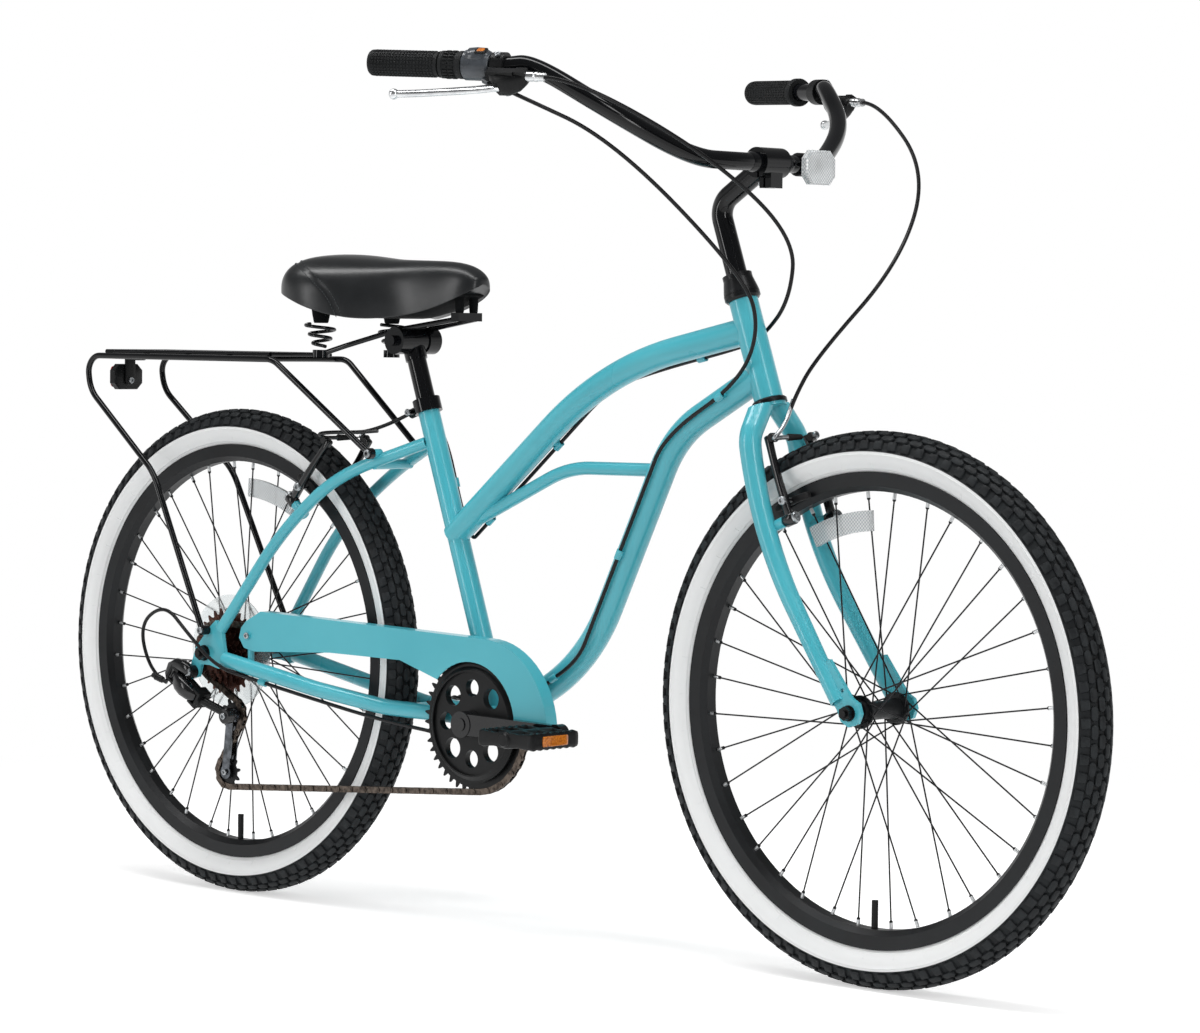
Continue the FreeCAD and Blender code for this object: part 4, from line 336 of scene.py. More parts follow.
def knob(outline, place, levels):
    """One moulded block: an outline drawn at levels of (height, share of its size), closed at both ends."""
    size = len(outline)
    middle = sum((Vector(p) for p in outline), Vector((0, 0))) / size
    points, faces = [], []
    for height, share in levels:
        points += [place(*(middle + (Vector(p) - middle) * share), height) for p in outline]
    for here in range(0, len(points) - size, size):
        for j in range(size):
            k = (j + 1) % size
            faces.append((here + j, here + k, here + size + k, here + size + j))
    faces.append(tuple(range(size - 1, -1, -1)))
    faces.append(tuple(range(len(points) - size, len(points))))
    return points, faces


def on_section(around, over, height):
    """A point of the tread: mm round the wheel, mm over the section's curve, mm from the section's middle."""
    lean = over / TREAD_TOP
    return Vector((around, height * sin(lean), SECTION_ROUND + height * cos(lean))) * 0.001


PITCHES, TICKS = 96, 40
pitch = tau * (SECTION_ROUND + TREAD_TOP) / PITCHES
LEVELS = ((22, 1.06), (24.9, 1.0), (25.7, 0.93), (26, 0.8))
SIDE_LEVELS = ((22, 1.06), (24.6, 1.0), (25.5, 0.94), (25.8, 0.82))
HEXAGON = ((8.6, 1.6), (6.2, 4.1), (-6.2, 4.1), (-8.6, 1.6), (-8.6, -1.6), (-6.2, -4.1), (6.2, -4.1), (8.6, -1.6))
BLOCK = ((5.6, 4.6), (4.6, 5.6), (-4.6, 5.6), (-5.6, 4.6), (-6.4, -5.2), (-5.4, -6.2), (5.4, -6.2), (6.4, -5.2))
tread, ticks = [], []
for row, over in enumerate((-19.2, -9.6, 0, 9.6, 19.2)):
    shift = pitch / 2 * (row % 2)
    tread.append(knob([(a + shift, b + over) for a, b in HEXAGON], on_section, LEVELS))
for side in (1, -1):
    tread.append(knob([(a * side + pitch / 2, (30 - b) * side) for a, b in BLOCK], on_section, SIDE_LEVELS))
    outline = [(-0.7 * side, -7), (0.7 * side, -7), (0.7 * side, 3), (-0.7 * side, 3)]
    ticks.append(knob(outline, lambda a, b, h: on_section(a, side * (60.5 + b), h), ((24, 1), (25.9, 0.8))))

casing_half = [(0, 22.4), (20, 22.5), (40, 22.6), (60, 22.8), (76, 23.2), (82, 23.9), (84.5, 25.2), (86.5, 25.5),
               (88.5, 25.3), (89.5, 25.1), (92, 25.1), (93, 25.6), (94.5, 25.6), (95.5, 25.2), (105, 25.4),
               (115, 25.5), (125, 25.4), (133, 25.2), (135, 25.6), (137, 25.6), (138.5, 25.0), (143, 24.9)]
outer = [(far * sin(radians(a)), SECTION_ROUND + far * cos(radians(a))) for a, far in casing_half]
inner = [(13.0, 284.5), (12.6, 289.5), (19.5, 297), (22.2, 308), (18.5, 320), (10.5, 327.5)]
casing = [*((-y, r) for y, r in reversed(outer[1:])), *outer, *inner, (0, 329.4),
          *((-y, r) for y, r in reversed(inner))]
for end, hub in HUBS.items():
    body = end + "_wheel"
    wall = spun(casing, hub, (0, 1, 0), (0, 0, 1), 144, closed=True)
    build(end + "_casing", [wall], tyre_rubber, body, "tyre_rubber", end + "_tyre", sharp=60)
    for name, blocks, count, finish in (("tread", tread, PITCHES, tread_rubber),
                                        ("band_ticks", ticks, TICKS, white_rubber)):
        piece = grow(ring_tree, end + "_" + name, welded(name, *joined(blocks), 35),
                     {"Count": count, "Centre": hub, "Axis": Vector((0, 1, 0)), "Finish": finish})
        settle(piece, body, "tyre_rubber")

# Wheel reflectors, front reflector and the disc behind the sprockets: clear acrylic, injection moulded.
# The reflectors snap onto the spokes and the bar; the disc hooks on the spokes.
# Clear acrylic with corner prisms in its back, about 2.3 mm wide, in a fine grid that also gives the bump: its
# alternating pale and white squares are painted reflection, the prisms' glints set into the base colour.
clear_acrylic, tree, shader = start_finish("clear_prism_acrylic", {"IOR": 1.49, "Transmission Weight": 0.4,
                                                                  "Roughness": 0.12})
place = put(tree, "ShaderNodeTexCoord").outputs["Object"]
# Painted reflection: the checker paints the prisms' glints into the base colour, white and pale grey by turns; the
# same grid gives the bump.
prism_glint_cells = put(tree, "ShaderNodeTexChecker", {"Vector": place, "Scale": 1000 / 2.3, "Color1": linear("#C8CFD2"),
                                            "Color2": linear("#FFFFFF")})
tree.links.new(prism_glint_cells.outputs["Color"], shader.inputs["Base Color"])
relief = put(tree, "ShaderNodeBump", {"Height": prism_glint_cells.outputs["Fac"], "Strength": 0.4, "Distance": 0.0006})
tree.links.new(relief.outputs["Normal"], shader.inputs["Normal"])
dress(clear_acrylic, "front_spoke_reflector", "rear_spoke_reflector")
clear_disc = varied("clear_polycarbonate", {"IOR": 1.58, "Transmission Weight": 0.92},
                    ("#E9EFF0", "#F4F8F8"), 30, (0.06, 0.14), 6, 0.02)
dress(clear_disc, "spoke_protector")

# Freewheel: seven stamped steel sprockets on a ratchet body, screwed onto the rear hub.
# Browned steel: dark red-brown between the teeth, brighter where the chain polishes them.
browned_steel = varied("browned_sprocket_steel", {"Metallic": 0.75},
                       ("#3A211B", "#5C3A30"), 14, (0.3, 0.5), 1, 0.03)
dress(browned_steel, "freewheel")

# Cranks: forged steel arms on a square spindle, with a black chainring and its dished guard disc
# riveted to the right arm.
# Gloss black lacquer over forged steel: black with soft broad highlights.
black_lacquer = varied("black_crank_lacquer", {"Specular IOR Level": 0.5},
                       ("#0A0A0C", "#111214"), 40, (0.12, 0.2), 3, 0.03)
dress(black_lacquer, "right_crank", "left_crank")
# Moulded nylon: satin black with the fine spark-eroded grain of its mould, under 1 mm.
black_nylon = varied("moulded_black_nylon", {"IOR": 1.53, "Specular IOR Level": 0.2},
                     ("#0A0B0C", "#111213"), 30, (0.34, 0.48), 0.9, 0.02)
dress(black_nylon, "chainring")

# Chain: stamped steel plates and rollers held by riveted pins, in one loop over the chainring, the
# sprocket and the two pulleys. Oiled steel: brown-grey plates with a dull shine, darker in the joints.
chain_steel = varied("oiled_chain_steel", {"Metallic": 0.85},
                     ("#3A332E", "#6A5F56"), 6, (0.3, 0.46), 1, 0.03)
dress(chain_steel, "chain")

# Chain guard: a pressed steel plate with a turned lip, screwed to two posts on the chain stay.
# It is painted with the frame.
dress(teal_enamel, "chain_guard")

# Pedals: moulded nylon bodies on steel spindles, screwed into the crank ends, with an amber
# reflector snapped into the front and the back edge of each.
# Amber acrylic: a warm orange with small prisms, each painted brighter at its middle as a glint.
def glinting_prism_acrylic(name, rough, codes):
    """Coloured acrylic with corner prisms about 2.5 mm wide: the hex values at their middles and their edges; the
    brighter middles are a painted glint of each prism.
    """
    finish, tree, shader = start_finish(name, {"IOR": 1.49, "Roughness": rough, "Coat Weight": 0.5})
    place = put(tree, "ShaderNodeTexCoord").outputs["Object"]
    prism_glint_cells = put(tree, "ShaderNodeTexVoronoi", {"Vector": place, "Scale": 1000 / 2.5})
    # Painted glint: each prism is lighter at its middle and darker at its edge.
    tree.links.new(ramp(tree, prism_glint_cells.outputs["Distance"], codes), shader.inputs["Base Color"])
    return finish


def lens(name, centre, right, up, size, bulge, finish, *settled):
    """A moulded lens: a rounded plate with a raised, softened rim, facing away from its back. Sizes in mm."""
    right, up = Vector(right).normalized(), Vector(up).normalized()
    out = right.cross(up)
    wide, tall = size[0] / 2, size[1] / 2
    corner = min(wide, tall) * 0.35
    outline = []
    for i, (a, b) in enumerate(((1, 1), (-1, 1), (-1, -1), (1, -1))):
        for j in range(5):
            swing = pi / 2 * (i + j / 4)
            outline.append((a * (wide - corner) + corner * cos(swing), b * (tall - corner) + corner * sin(swing)))
    plate = knob(outline, lambda a, b, h: centre + (right * a + up * b + out * h) * 0.001,
                 ((0, 1), (bulge * 0.6, 1), (bulge * 0.92, 0.95), (bulge, 0.84)))
    return build(name, [plate], finish, *settled, sharp=50)


CAST_SIDES = 20


def cast(rings, power=3.0, ends=0.4):
    """A smooth solid through rings of (middle, half width, half height) in mm, with rounded ends."""
    rings = [tuple(Vector(v) for v in ring) for ring in rings]
    tips = []
    for (middle, wide, tall), beside in ((rings[0], rings[1]), (rings[-1], rings[-2])):
        heading = (middle - beside[0]).normalized() * ends * min(wide.length, tall.length)
        tips.append([(middle + heading * out, wide * share, tall * share) for out, share in ((1, 0.55), (0.72, 0.83))])
    rings = tips[0] + rings + tips[1][::-1]
    points, faces = [], []
    for middle, wide, tall in rings:
        for i in range(CAST_SIDES):
            x, y = cos(tau * i / CAST_SIDES), sin(tau * i / CAST_SIDES)
            reach = (abs(x) ** power + abs(y) ** power) ** (-1 / power)
            points.append((middle + (wide * x + tall * y) * reach) * 0.001)
    for i in range(0, len(points) - CAST_SIDES, CAST_SIDES):
        for j in range(CAST_SIDES):
            here, there = i + j, i + (j + 1) % CAST_SIDES
            faces.append((here, there, there + CAST_SIDES, here + CAST_SIDES))
    faces.append(tuple(range(CAST_SIDES)))
    faces.append(tuple(range(len(points) - CAST_SIDES, len(points))))
    return points, faces


def lathe(profile, origin, axis, steps=24):
    """A turned shape: a profile of (along, out) pairs in mm about an axis from an origin in mm."""
    axis = Vector(axis).normalized()
    return spun(profile, Vector(origin) * 0.001, axis, axis.orthogonal().normalized(), steps)


amber_acrylic = glinting_prism_acrylic("amber_prism_acrylic", 0.18, ("#E58A2C", "#9A4A12"))
PEDALS = {"right": (Vector((0.104, -0.125, 0.2735)), (0, -1, 0)), "left": (Vector((-0.228, 0.125, 0.2735)), (0, 1, 0))}
RIB = ((-39, 10), (-20, 8.6), (0, 10.6), (20, 8.6), (39, 10))
BARREL = ((-44, 5.1), (-44, 9.6), (-42, 11), (41, 11), (43.6, 10), (44.4, 8.6), (46.6, 7.4), (47, 0))
for hand, (middle, outward) in PEDALS.items():
    body = hand + "_pedal_body"
    spot = middle * 1000
    shapes = []
    for sign in (1, -1):
        shapes.append(cast([(spot + Vector((41.3 * sign, 6 * i - 42, 0)), (4.6, 0, 0), (0, 0, 11.3 if i % 2 else 9.4))
                            for i in range(15)], 5.0, 0.3))
    for y in (-40, -13, 13, 40):
        shapes.append(cast([(spot + Vector((x, y, 0)), (0, 3.4, 0), (0, 0, tall)) for x, tall in RIB], 4.0, 0.2))
    shapes.append(lathe(BARREL, spot, outward))
    build(hand + "_platform", shapes, black_nylon, body, "black_plastic", hand + "_pedal")
    for end, sign in (("front", 1), ("back", -1)):
        lens(f"{hand}_pedal_{end}_reflector", middle + Vector((0.0455 * sign, 0, 0)), (0, sign, 0), (0, 0, 1),
             (46, 13), 1.6, amber_acrylic, body, "red_plastic")

# Derailleur: a bracket hung on the axle, two parallel links of moulded nylon, a knuckle and a cage of
# pressed plates that carries two toothed nylon pulleys.
dress(black_nylon, "derailleur_bracket", "derailleur_inner_link", "derailleur_knuckle", "guide_pulley",
      "tension_pulley")
# Zinc-plated steel: cool grey, softly bright, with the cloudy patches of the plating bath.
zinc_steel = varied("zinc_plated_steel", {"Metallic": 0.9},
                    ("#8D9194", "#B7BABC"), 12, (0.24, 0.38), 1.5, 0.02)
# Smoked nickel plating: a darker, mirror-like grey that the cage's rolled edges break up.
smoked_nickel = varied("smoked_nickel_plate", {"Metallic": 0.95},
                       ("#45484B", "#70747A"), 10, (0.14, 0.26), 1.5, 0.03)
dress(smoked_nickel, "derailleur_cage")

# Brakes: four cast aluminium arms, lacquered black, that turn on bolts in the welded bosses. Each holds a
# rubber shoe at the rim; a bent pipe leads the cable into the right arm, and a bellows covers the bare wire.
BRAKES = {"front": ("steering_assembly", (427, 0, 549), (0.929986, 0, 0.367595), (-0.367595, 0, 0.929986)),
          "rear": ("frame", (-397, 0, 531), (-0.770919, 0, 0.636933), (0.636933, 0, 0.770919))}
HEAD = ((0, 0), (0, 1), (0.45, 1), (0.62, 0.85), (0.62, 0.52), (0.25, 0.48), (0.25, 0))
bolts = {}


def bolt(body, spot, facing, radius):
    """Note a bolt head on a body: where it sits, in mm, which way it faces and its radius."""
    bolts.setdefault(body, []).append((Vector(spot), Vector(facing).normalized(), radius))


ARM = ((2, 40, 5.6, 5.2), (22, 40.4, 5.2, 5), (45, 40.8, 4.8, 4.6), (70, 40.2, 4.4, 4.2), (92, 38.5, 4.4, 4.4),
       (105, 37, 4.8, 5.4))
EYE = ((0, 4.06), (0, 7.2), (1, 8), (14, 8), (15, 7.2), (15, 4.06), (0, 4.06))
SHOE = ((0, 22.6), (10, 23.4), (25, 23.8), (40, 23.4), (50, 22.6))
for end, (body, base, ahead, up) in BRAKES.items():
    base, ahead, up = Vector(base), Vector(ahead), Vector(up)
    for hand, sign in (("right", -1), ("left", 1)):
        side = Vector((0, sign, 0))
        arm_body = f"{end}_{hand}_arm"

        def local(a, b, u):
            """A point at this arm, in mm: out from the stays, to the arm's side and up along them."""
            return base + ahead * a + side * b + up * u

        build(arm_body + "_casting", [
            cast([(local(27, b, u), ahead * wide, side * tall) for u, b, wide, tall in ARM]),
            lathe(EYE, local(19.5, 40, 0), ahead),
            lathe(((0, 0), (0, 3), (20, 3), (20, 0)), local(27, 24, 24), side),
            lathe(((0, 0), (0, 5), (1, 5.8), (9, 5.8), (10, 5), (10, 0)), local(34, 42, 102), -side),
        ], black_lacquer, arm_body, "black_alloy", f"{end}_{hand}_brake_arm")
        shoe = cast([(local(a, 23, u), side * 4.8, up * 4.3) for a, u in SHOE], 4.0)
        build(arm_body + "_shoe", [shoe], butyl, arm_body, "tyre_rubber")
        bolt(arm_body, local(27, 44.4, 24), side, 5.5)
        bolt(body, local(34.6, 40, 0), ahead, 6.8)
        if hand == "left":
            bolt(arm_body, local(39.8, 37, 102), ahead, 4.8)

# Derailleur body: the outer link and the bracket are hollow nylon mouldings with rounded backs. A barrel on
# the bracket takes the cable's end, and two small screws beside it set how far the links may swing.
heading, link_up = Vector((0.829983, 0, -0.557789)), Vector((0.557789, 0, 0.829983))
outer_pin = Vector((-606, -80, 300))
BACK = ((-3, 6, 5, 0), (6, 9.5, 7, 2), (16, 11.5, 9, 4), (28, 11.5, 9.5, 4.6), (40, 10, 8, 3), (49, 7, 5, 0))
rings = [(outer_pin + heading * d - Vector((0, out, 0)), link_up * tall, Vector((0, wide, 0)))
         for d, tall, wide, out in BACK]
build("derailleur_link_back", [cast(rings, 2.6)], black_lacquer, "outer_link", "black_plastic",
      "derailleur_outer_link")
HOOK = ((-580, 308, 8.6), (-592, 313.5, 9), (-604, 315.5, 9), (-615, 311, 9), (-620, 302, 8), (-619, 294, 6.5))
rings = []
for i, (x, z, wide) in enumerate(HOOK):
    before, after = HOOK[max(i - 1, 0)], HOOK[min(i + 1, len(HOOK) - 1)]
    across = Vector((after[1] - before[1], 0, before[0] - after[0])).normalized()
    rings.append(((x, -78.5 + 0.4 * i, z), across * wide, (0, 7.5, 0)))
build("derailleur_hook", [cast(rings, 2.4)], black_lacquer, "frame", "black_plastic")
CABLE_BARREL = ((0, 2.6), (0, 3.6), (5, 3.6), (6, 5), (8, 5), (9, 4.4), (11, 5), (13, 4.4), (15, 5), (17, 4.4),
                (19, 4.4), (20, 3), (26, 3), (26, 0))
build("derailleur_barrel", [lathe(CABLE_BARREL, (-645, -87.6, 299), (26, 4, -9), 18)], black_nylon, "frame",
      "black_plastic")
PIVOT_CAP = ((0, 0), (0, 9.5), (1.5, 11), (10, 11), (11.5, 9.5), (11.5, 0))
build("derailleur_pivot_cap", [lathe(PIVOT_CAP, (-519, -70.4, 250), (0, 1, 0))], black_lacquer, "knuckle",
      "black_plastic")
bolt("knuckle", (-519, -70.2, 250), (0, -1, 0), 4.6)
bolt("frame", (-580, -80.2, 307), (0, -1, 0), 6.4)
for z in (289.5, 295.5):
    bolt("frame", (-622.5, -81, z), (-0.8, -0.6, 0), 2.4)
for x, z in ((-528, 250), (-536.532, 170.456)):
    bolt("cage", (x, -51.2, z), (0, -1, 0), 4.2)

# Levers: forged aluminium blades in black brackets that are clamped to the bar.
# Polished aluminium: bright, with faint brushing left by the wheel, about 1.5 mm apart.
polished_alloy = varied("polished_aluminium", {"Metallic": 0.95},
                        ("#C4C6C8", "#DEE0E1"), 20, (0.18, 0.3), 1.5, 0.01)
dress(black_nylon, "brake_brackets")


def hand_frame(sign):
    """The bar end on one side, in mm: where it is, along it, and the two ways out from it."""
    flip = Matrix.Diagonal((1, sign, 1))
    vectors = ((0.941621, -0.334456, -0.038591), (0.275171, 0.830577, -0.484172), (0.193987, 0.445288, 0.874121))
    return [flip @ Vector((53, 356, 1101.5))] + [flip @ Vector(v) for v in vectors]


right_hand, left_hand = hand_frame(-1), hand_frame(1)
BLADE = ((184, 31, 6.2), (172, 39, 6.4), (156, 50.5, 6.2), (138, 59.5, 5.6), (118, 67.5, 5.1), (98, 74.5, 4.8),
         (82, 79, 4.7), (70, 81.6, 4.6), (63, 83, 4.4))
PIVOT_EYE = ((-4, 2.55), (-4, 5.4), (-3.4, 6), (3.4, 6), (4, 5.4), (4, 2.55), (-4, 2.55))
BALL = [(6.4 * -cos(pi * i / 10), 6.4 * sin(pi * i / 10)) for i in range(11)]
ADJUSTER = ((0, 5.05), (0, 5.9), (9, 5.9), (10, 5.2), (11, 5.2), (12, 5.9), (15, 5.9), (16, 5.2), (24.6, 5.1),
            (24.8, 2.6), (12, 2.6), (0, 5.05))
HOOD = ((161, 18, 8, 0, 7), (168, 24, 11, -4, 11), (178, 28, 13, -7.5, 14), (192, 28.5, 12, -8, 13.5),
        (204, 27, 9.5, -6, 11), (211, 26, 7.5, -3, 8))
ROOT_DROP = 13
for name, (origin, along, reach, across) in (("right", right_hand), ("left", left_hand)):
    rings = []
    for i, (a, r, half) in enumerate(BLADE):
        before, after = BLADE[max(i - 1, 0)], BLADE[min(i + 1, len(BLADE) - 1)]
        heading = (along * (after[0] - before[0]) + reach * (after[1] - before[1])).normalized()
        drop = across * -ROOT_DROP * (i / (len(BLADE) - 1) - 1) ** 2
        rings.append((origin + along * a + reach * r + drop, heading.cross(across) * half, across * 3.9))
    pivot = origin + along * 186 + reach * 30 - across * ROOT_DROP
    build(name + "_lever_blade", [cast(rings, 2.6), lathe(PIVOT_EYE, pivot, across),
                                  lathe(BALL, origin + along * 64 + reach * 83, across)],
          polished_alloy, name + "_lever", "lever_alloy", name + "_brake_lever")
    adjuster = lathe(ADJUSTER, origin + along * 211.6 + reach * 26, along + reach * 0.03)
    build(name + "_cable_adjuster", [adjuster], polished_alloy, "steering_assembly", "lever_alloy")
    bolt("steering_assembly", origin + along * 168 + across * 16.3 + reach * 3, across + reach * 0.18, 4)
    rings = [(origin + along * a + reach * r + across * c, reach * wide, across * tall)
             for a, r, wide, c, tall in HOOD]
    build(name + "_lever_hood", [cast(rings, 4.0, 0.3)], black_nylon, "steering_assembly", "black_plastic")
    bolt("steering_assembly", pivot - across * 8.3, -across, 3.4)

# Twist shifter: a nylon housing clamped beside the right grip, with a window for the gear shown.
# Moulded ABS: mid grey, satin, with a grain under 1 mm.
grey_abs = varied("moulded_grey_abs", {"IOR": 1.53},
                  ("#3C4045", "#4A4F55"), 20, (0.26, 0.38), 0.9, 0.015)
origin, along, reach, across = right_hand
CASE = ((122.2, 11.4), (122.2, 16.8), (123.6, 18.2), (149, 18.4), (153.5, 17.4), (156.6, 15.2), (156.8, 11.4),
        (122.2, 11.4))
HUMP = ((125.5, 9.5, 8.8), (129, 12, 12.2), (138, 12.9, 12.9), (147, 12.6, 12.4), (152.5, 10.6, 10))
OUTLET = ((0, 0), (0, 4.4), (14, 4.4), (17, 3.4), (17, 0))
build("shifter_case", [
    lathe(CASE, origin, along, 40),
    cast([(origin + along * a + across * 9, reach * wide, across * tall) for a, wide, tall in HUMP], 2.5),
    lathe(OUTLET, origin + along * 150 + reach * 14 - across * 12, along * 16 + reach * 6 - across * 3),
], grey_abs, "steering_assembly", "grey_plastic", "shifter_housing")
for name, out, size, bulge, finish, slot in (("gear_window_trim", 20.4, (15, 13), 1.6, black_nylon, "black_plastic"),
                                             ("gear_window", 21.4, (9, 8), 1.4, amber_acrylic, "red_plastic")):
    lens(name, (origin + along * 147 + across * out + reach * 3) * 0.001, along, across.cross(along), size, bulge,
         finish, "steering_assembly", slot)

# Grips and twist sleeve: thick rubber sleeves pushed over the bar, with raised pads in rows for the hand.
# Moulded rubber: matt black that turns slightly grey on the raised pads.
grip_rubber = varied("moulded_grip_rubber", {"Specular IOR Level": 0.2},
                     ("#121314", "#1C1E1F"), 12, (0.5, 0.66), 0.8, 0.02)


def pads(name, hand, starts, size, radius, height, count, body):
    """Rows of raised pads round the bar: each start along it, mm, repeated round the axis."""
    origin, along, reach, across = hand
    wide, tall = size[0] / 2, size[1] / 2
    third = along.cross(reach)
    blocks = [knob([(wide + start, -tall), (wide + start, tall), (-wide + start, tall), (-wide + start, -tall)],
                   lambda a, b, h: (along * a + third * b + reach * h) * 0.001,
                   ((radius - 1.5, 1), (radius + height * 0.6, 0.95), (radius + height, 0.7))) for start in starts]
    piece = grow(ring_tree, name, welded(name, *joined(blocks), 35),
                 {"Count": count, "Centre": origin * 0.001, "Axis": along, "Finish": grip_rubber})
    settle(piece, body, "grip_rubber")


PAD_STEP = 4.3
COLLAR_END = ((11, 16), (9, 18.4), (2, 18.4), (0.4, 17.4), (0.4, 11.6))
PLAIN_END = ((3, 15.2), (1, 15.9), (0.3, 15.2), (0.3, 11.6))
for name, hand, long, bare, finish_end, nodes in (("right", right_hand, 90, 12, PLAIN_END, ()),
                                                  ("left", left_hand, 118, 22, COLLAR_END, ("grips",))):
    profile = [(-3.5, 0), (-3.5, 12), (-2.6, 14.2), (-0.5, 15.6), (2, 15.8), (3, 15.2), (long - 12, 15.2)]
    profile += [(long - short, far) for short, far in finish_end]
    build(name + "_grip", [spun(profile, hand[0] * 0.001, hand[1], hand[2], 40)], grip_rubber, "steering_assembly",
          "grip_rubber", *nodes)
    starts = [5 + PAD_STEP * i for i in range(int((long - bare) / PAD_STEP) + 1)]
    pads(name + "_grip_pads", hand, starts, (2.9, 3.0), 15.2, 0.8, 24, "steering_assembly")
TWIST = ((91.2, 11.6), (91.2, 15.6), (92.5, 16.6), (96, 16.6), (97, 15.6), (113, 15.6), (116, 16.8), (121.2, 16.8),
         (121.4, 11.6))
build("twist_sleeve", [spun(TWIST, right_hand[0] * 0.001, right_hand[1], right_hand[2], 40)], grip_rubber,
      "twist_grip", "grip_rubber", "twist_shifter")
pads("twist_ribs", right_hand, (100.5, 108.5), (6.6, 2.6), 15.6, 1.5, 22, "twist_grip")

# Cables: steel wire in a ribbed plastic casing, from each lever and the shifter to the brakes and the
# derailleur, held under the guides on the tubes.
# Extruded casing: smooth black plastic with a soft shine.
casing_plastic = varied("extruded_cable_casing", {"Specular IOR Level": 0.25},
                        ("#0B0B0D", "#131315"), 40, (0.3, 0.42), 2, 0.02)


def mirrored(point):
    """The same point on the right side."""
    return (point[0], -point[1], point[2])


def wire(name, points, radius, finish, kind="NURBS", sides=4):
    """A round wire along control points in mm, as a plain mesh with closed ends."""
    line = bpy.data.curves.new(name, "CURVE")
    line.dimensions = "3D"
    line.bevel_depth = radius / 1000
    line.bevel_resolution = sides
    line.use_fill_caps = True
    line.resolution_u = 14
    spline = line.splines.new(kind)
    spline.points.add(len(points) - 1)
    for spot, point in zip(spline.points, points):
        spot.co = (*(Vector(point) * 0.001), 1)
    if kind == "NURBS":
        spline.order_u = 3
        spline.use_endpoint_u = True
    shape = add(name, line)
    plain = plain_mesh(shape)
    bpy.data.objects.remove(shape)
    plain.materials.clear()
    plain.materials.append(finish)
    plain.shade_smooth()
    plain.set_sharp_from_angle(angle=radians(50))
    return add(name, plain)


LEFT_BARREL = (281.8, 299.5, 1079.5)
LEFT_RUN = (319.8, 287.1, 1077.4)
CASING_RADIUS = 2.5
front_route = [LEFT_BARREL, LEFT_RUN, (462, 205, 985), (512, 90, 870), (448, 8, 752), (427, -7, 702),
               (428.5, -17, 684)]
rear_route = [mirrored(LEFT_BARREL), mirrored(LEFT_RUN), (390, -128, 994), (414, 8, 900), (402, 14, 822),
              (350, 24, 776), (323, 13.75, 763), (206, 13.75, 737.4), (109.5, 13.75, 711), (32, 13.75, 644),
              (-113, 13.75, 521), (-148, 24, 499), (-206, 24, 690), (-288, -8, 645), (-318, -17.5, 642)]
shift_route = [(212.4, -310.4, 1072.1), (240.3, -307.4, 1061.5), (303, -200, 1010), (382, -46, 848), (394, -33, 785),
               (352, -21.8, 720.2), (232.8, -21.8, 653.2), (203, -21.8, 592), (114, -21.8, 409), (91.4, -21.8, 362.6),
               (22, -21.8, 322.4), (-22, -24, 262), (-64, -28, 246), (-100, -31, 250), (-240, -44, 264),
               (-370, -57, 286.5), (-476, -62.8, 304.4), (-522, -82, 318), (-566, -95, 362), (-612, -96, 400),
               (-668, -94, 368), (-648, -88, 300), (-622, -84, 291)]
front_cable = wire("front_cable", front_route, CASING_RADIUS, casing_plastic)
settle(front_cable, "steering_assembly", "cable_casing", "front_brake_cable")
for name, route, node in (("rear_cable", rear_route, "rear_brake_cable"), ("gear_cable", shift_route, "shift_cable")):
    cable = wire(name, route, CASING_RADIUS, casing_plastic)
    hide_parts(node)
    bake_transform(cable)

# Handlebar: one steel tube, 22 mm thick, bent in two long sweeps on each side, with a thicker sleeve pressed
# over its middle for the stem's clamp. It is powder coated with the stem.
BAR_MIDDLE, BAR_RADIUS = (376, 0, 989), 11.1
origin, along = left_hand[:2]
half = [origin + along * d for d in (0, 80, 150, 176)] + [
    (238.6, 275.3, 1099.2), (312, 223.8, 1045.6), (358.6, 122.3, 990.4), (376, 60, 989), (376, 20, 989)]
bar = wire("swept_bar", half + [mirrored(point) for point in reversed(half)], BAR_RADIUS, black_enamel, sides=8)
settle(bar, "steering_assembly", "black_paint", "handlebar")
SLEEVE = ((-38, 0), (-38, 11.3), (-33, 12.6), (33, 12.6), (38, 11.3), (38, 0))
build("bar_sleeve", [lathe(SLEEVE, BAR_MIDDLE, (0, 1, 0), 32)], black_enamel, "steering_assembly", "black_paint")

# Front reflector: a clear moulded lens with cut corners, on a nylon clip that snaps round the bar.
# The clip's short arm holds the lens ahead of the bar, beside the stem.
CUT = ((1, 0.5), (0.64, 1), (-0.64, 1), (-1, 0.5), (-1, -0.5), (-0.64, -1), (0.64, -1), (1, -0.5))
plate = knob([(28 * a, 21 * b) for a, b in CUT], lambda a, b, h: Vector((398 + h, 64 + a, 985 + b)) * 0.001,
             ((0, 0.94), (1, 1), (8.4, 1), (10, 0.93)))
build("bar_lens", [plate], clear_acrylic, "steering_assembly", "clear_plastic", "front_reflector", sharp=30)
CLIP = ((-7, 11.2), (-7, 14), (-6, 14.5), (6, 14.5), (7, 14), (7, 11.2), (-7, 11.2))
build("bar_lens_clip", [
    lathe(CLIP, (376, 62, 989), (0, 1, 0), 32),
    cast([((x, 62, 989), (0, 4.8, 0), (0, 0, 6.6)) for x in (389, 393, 398)], 4.0, 0.1),
], black_nylon, "steering_assembly", "black_plastic")

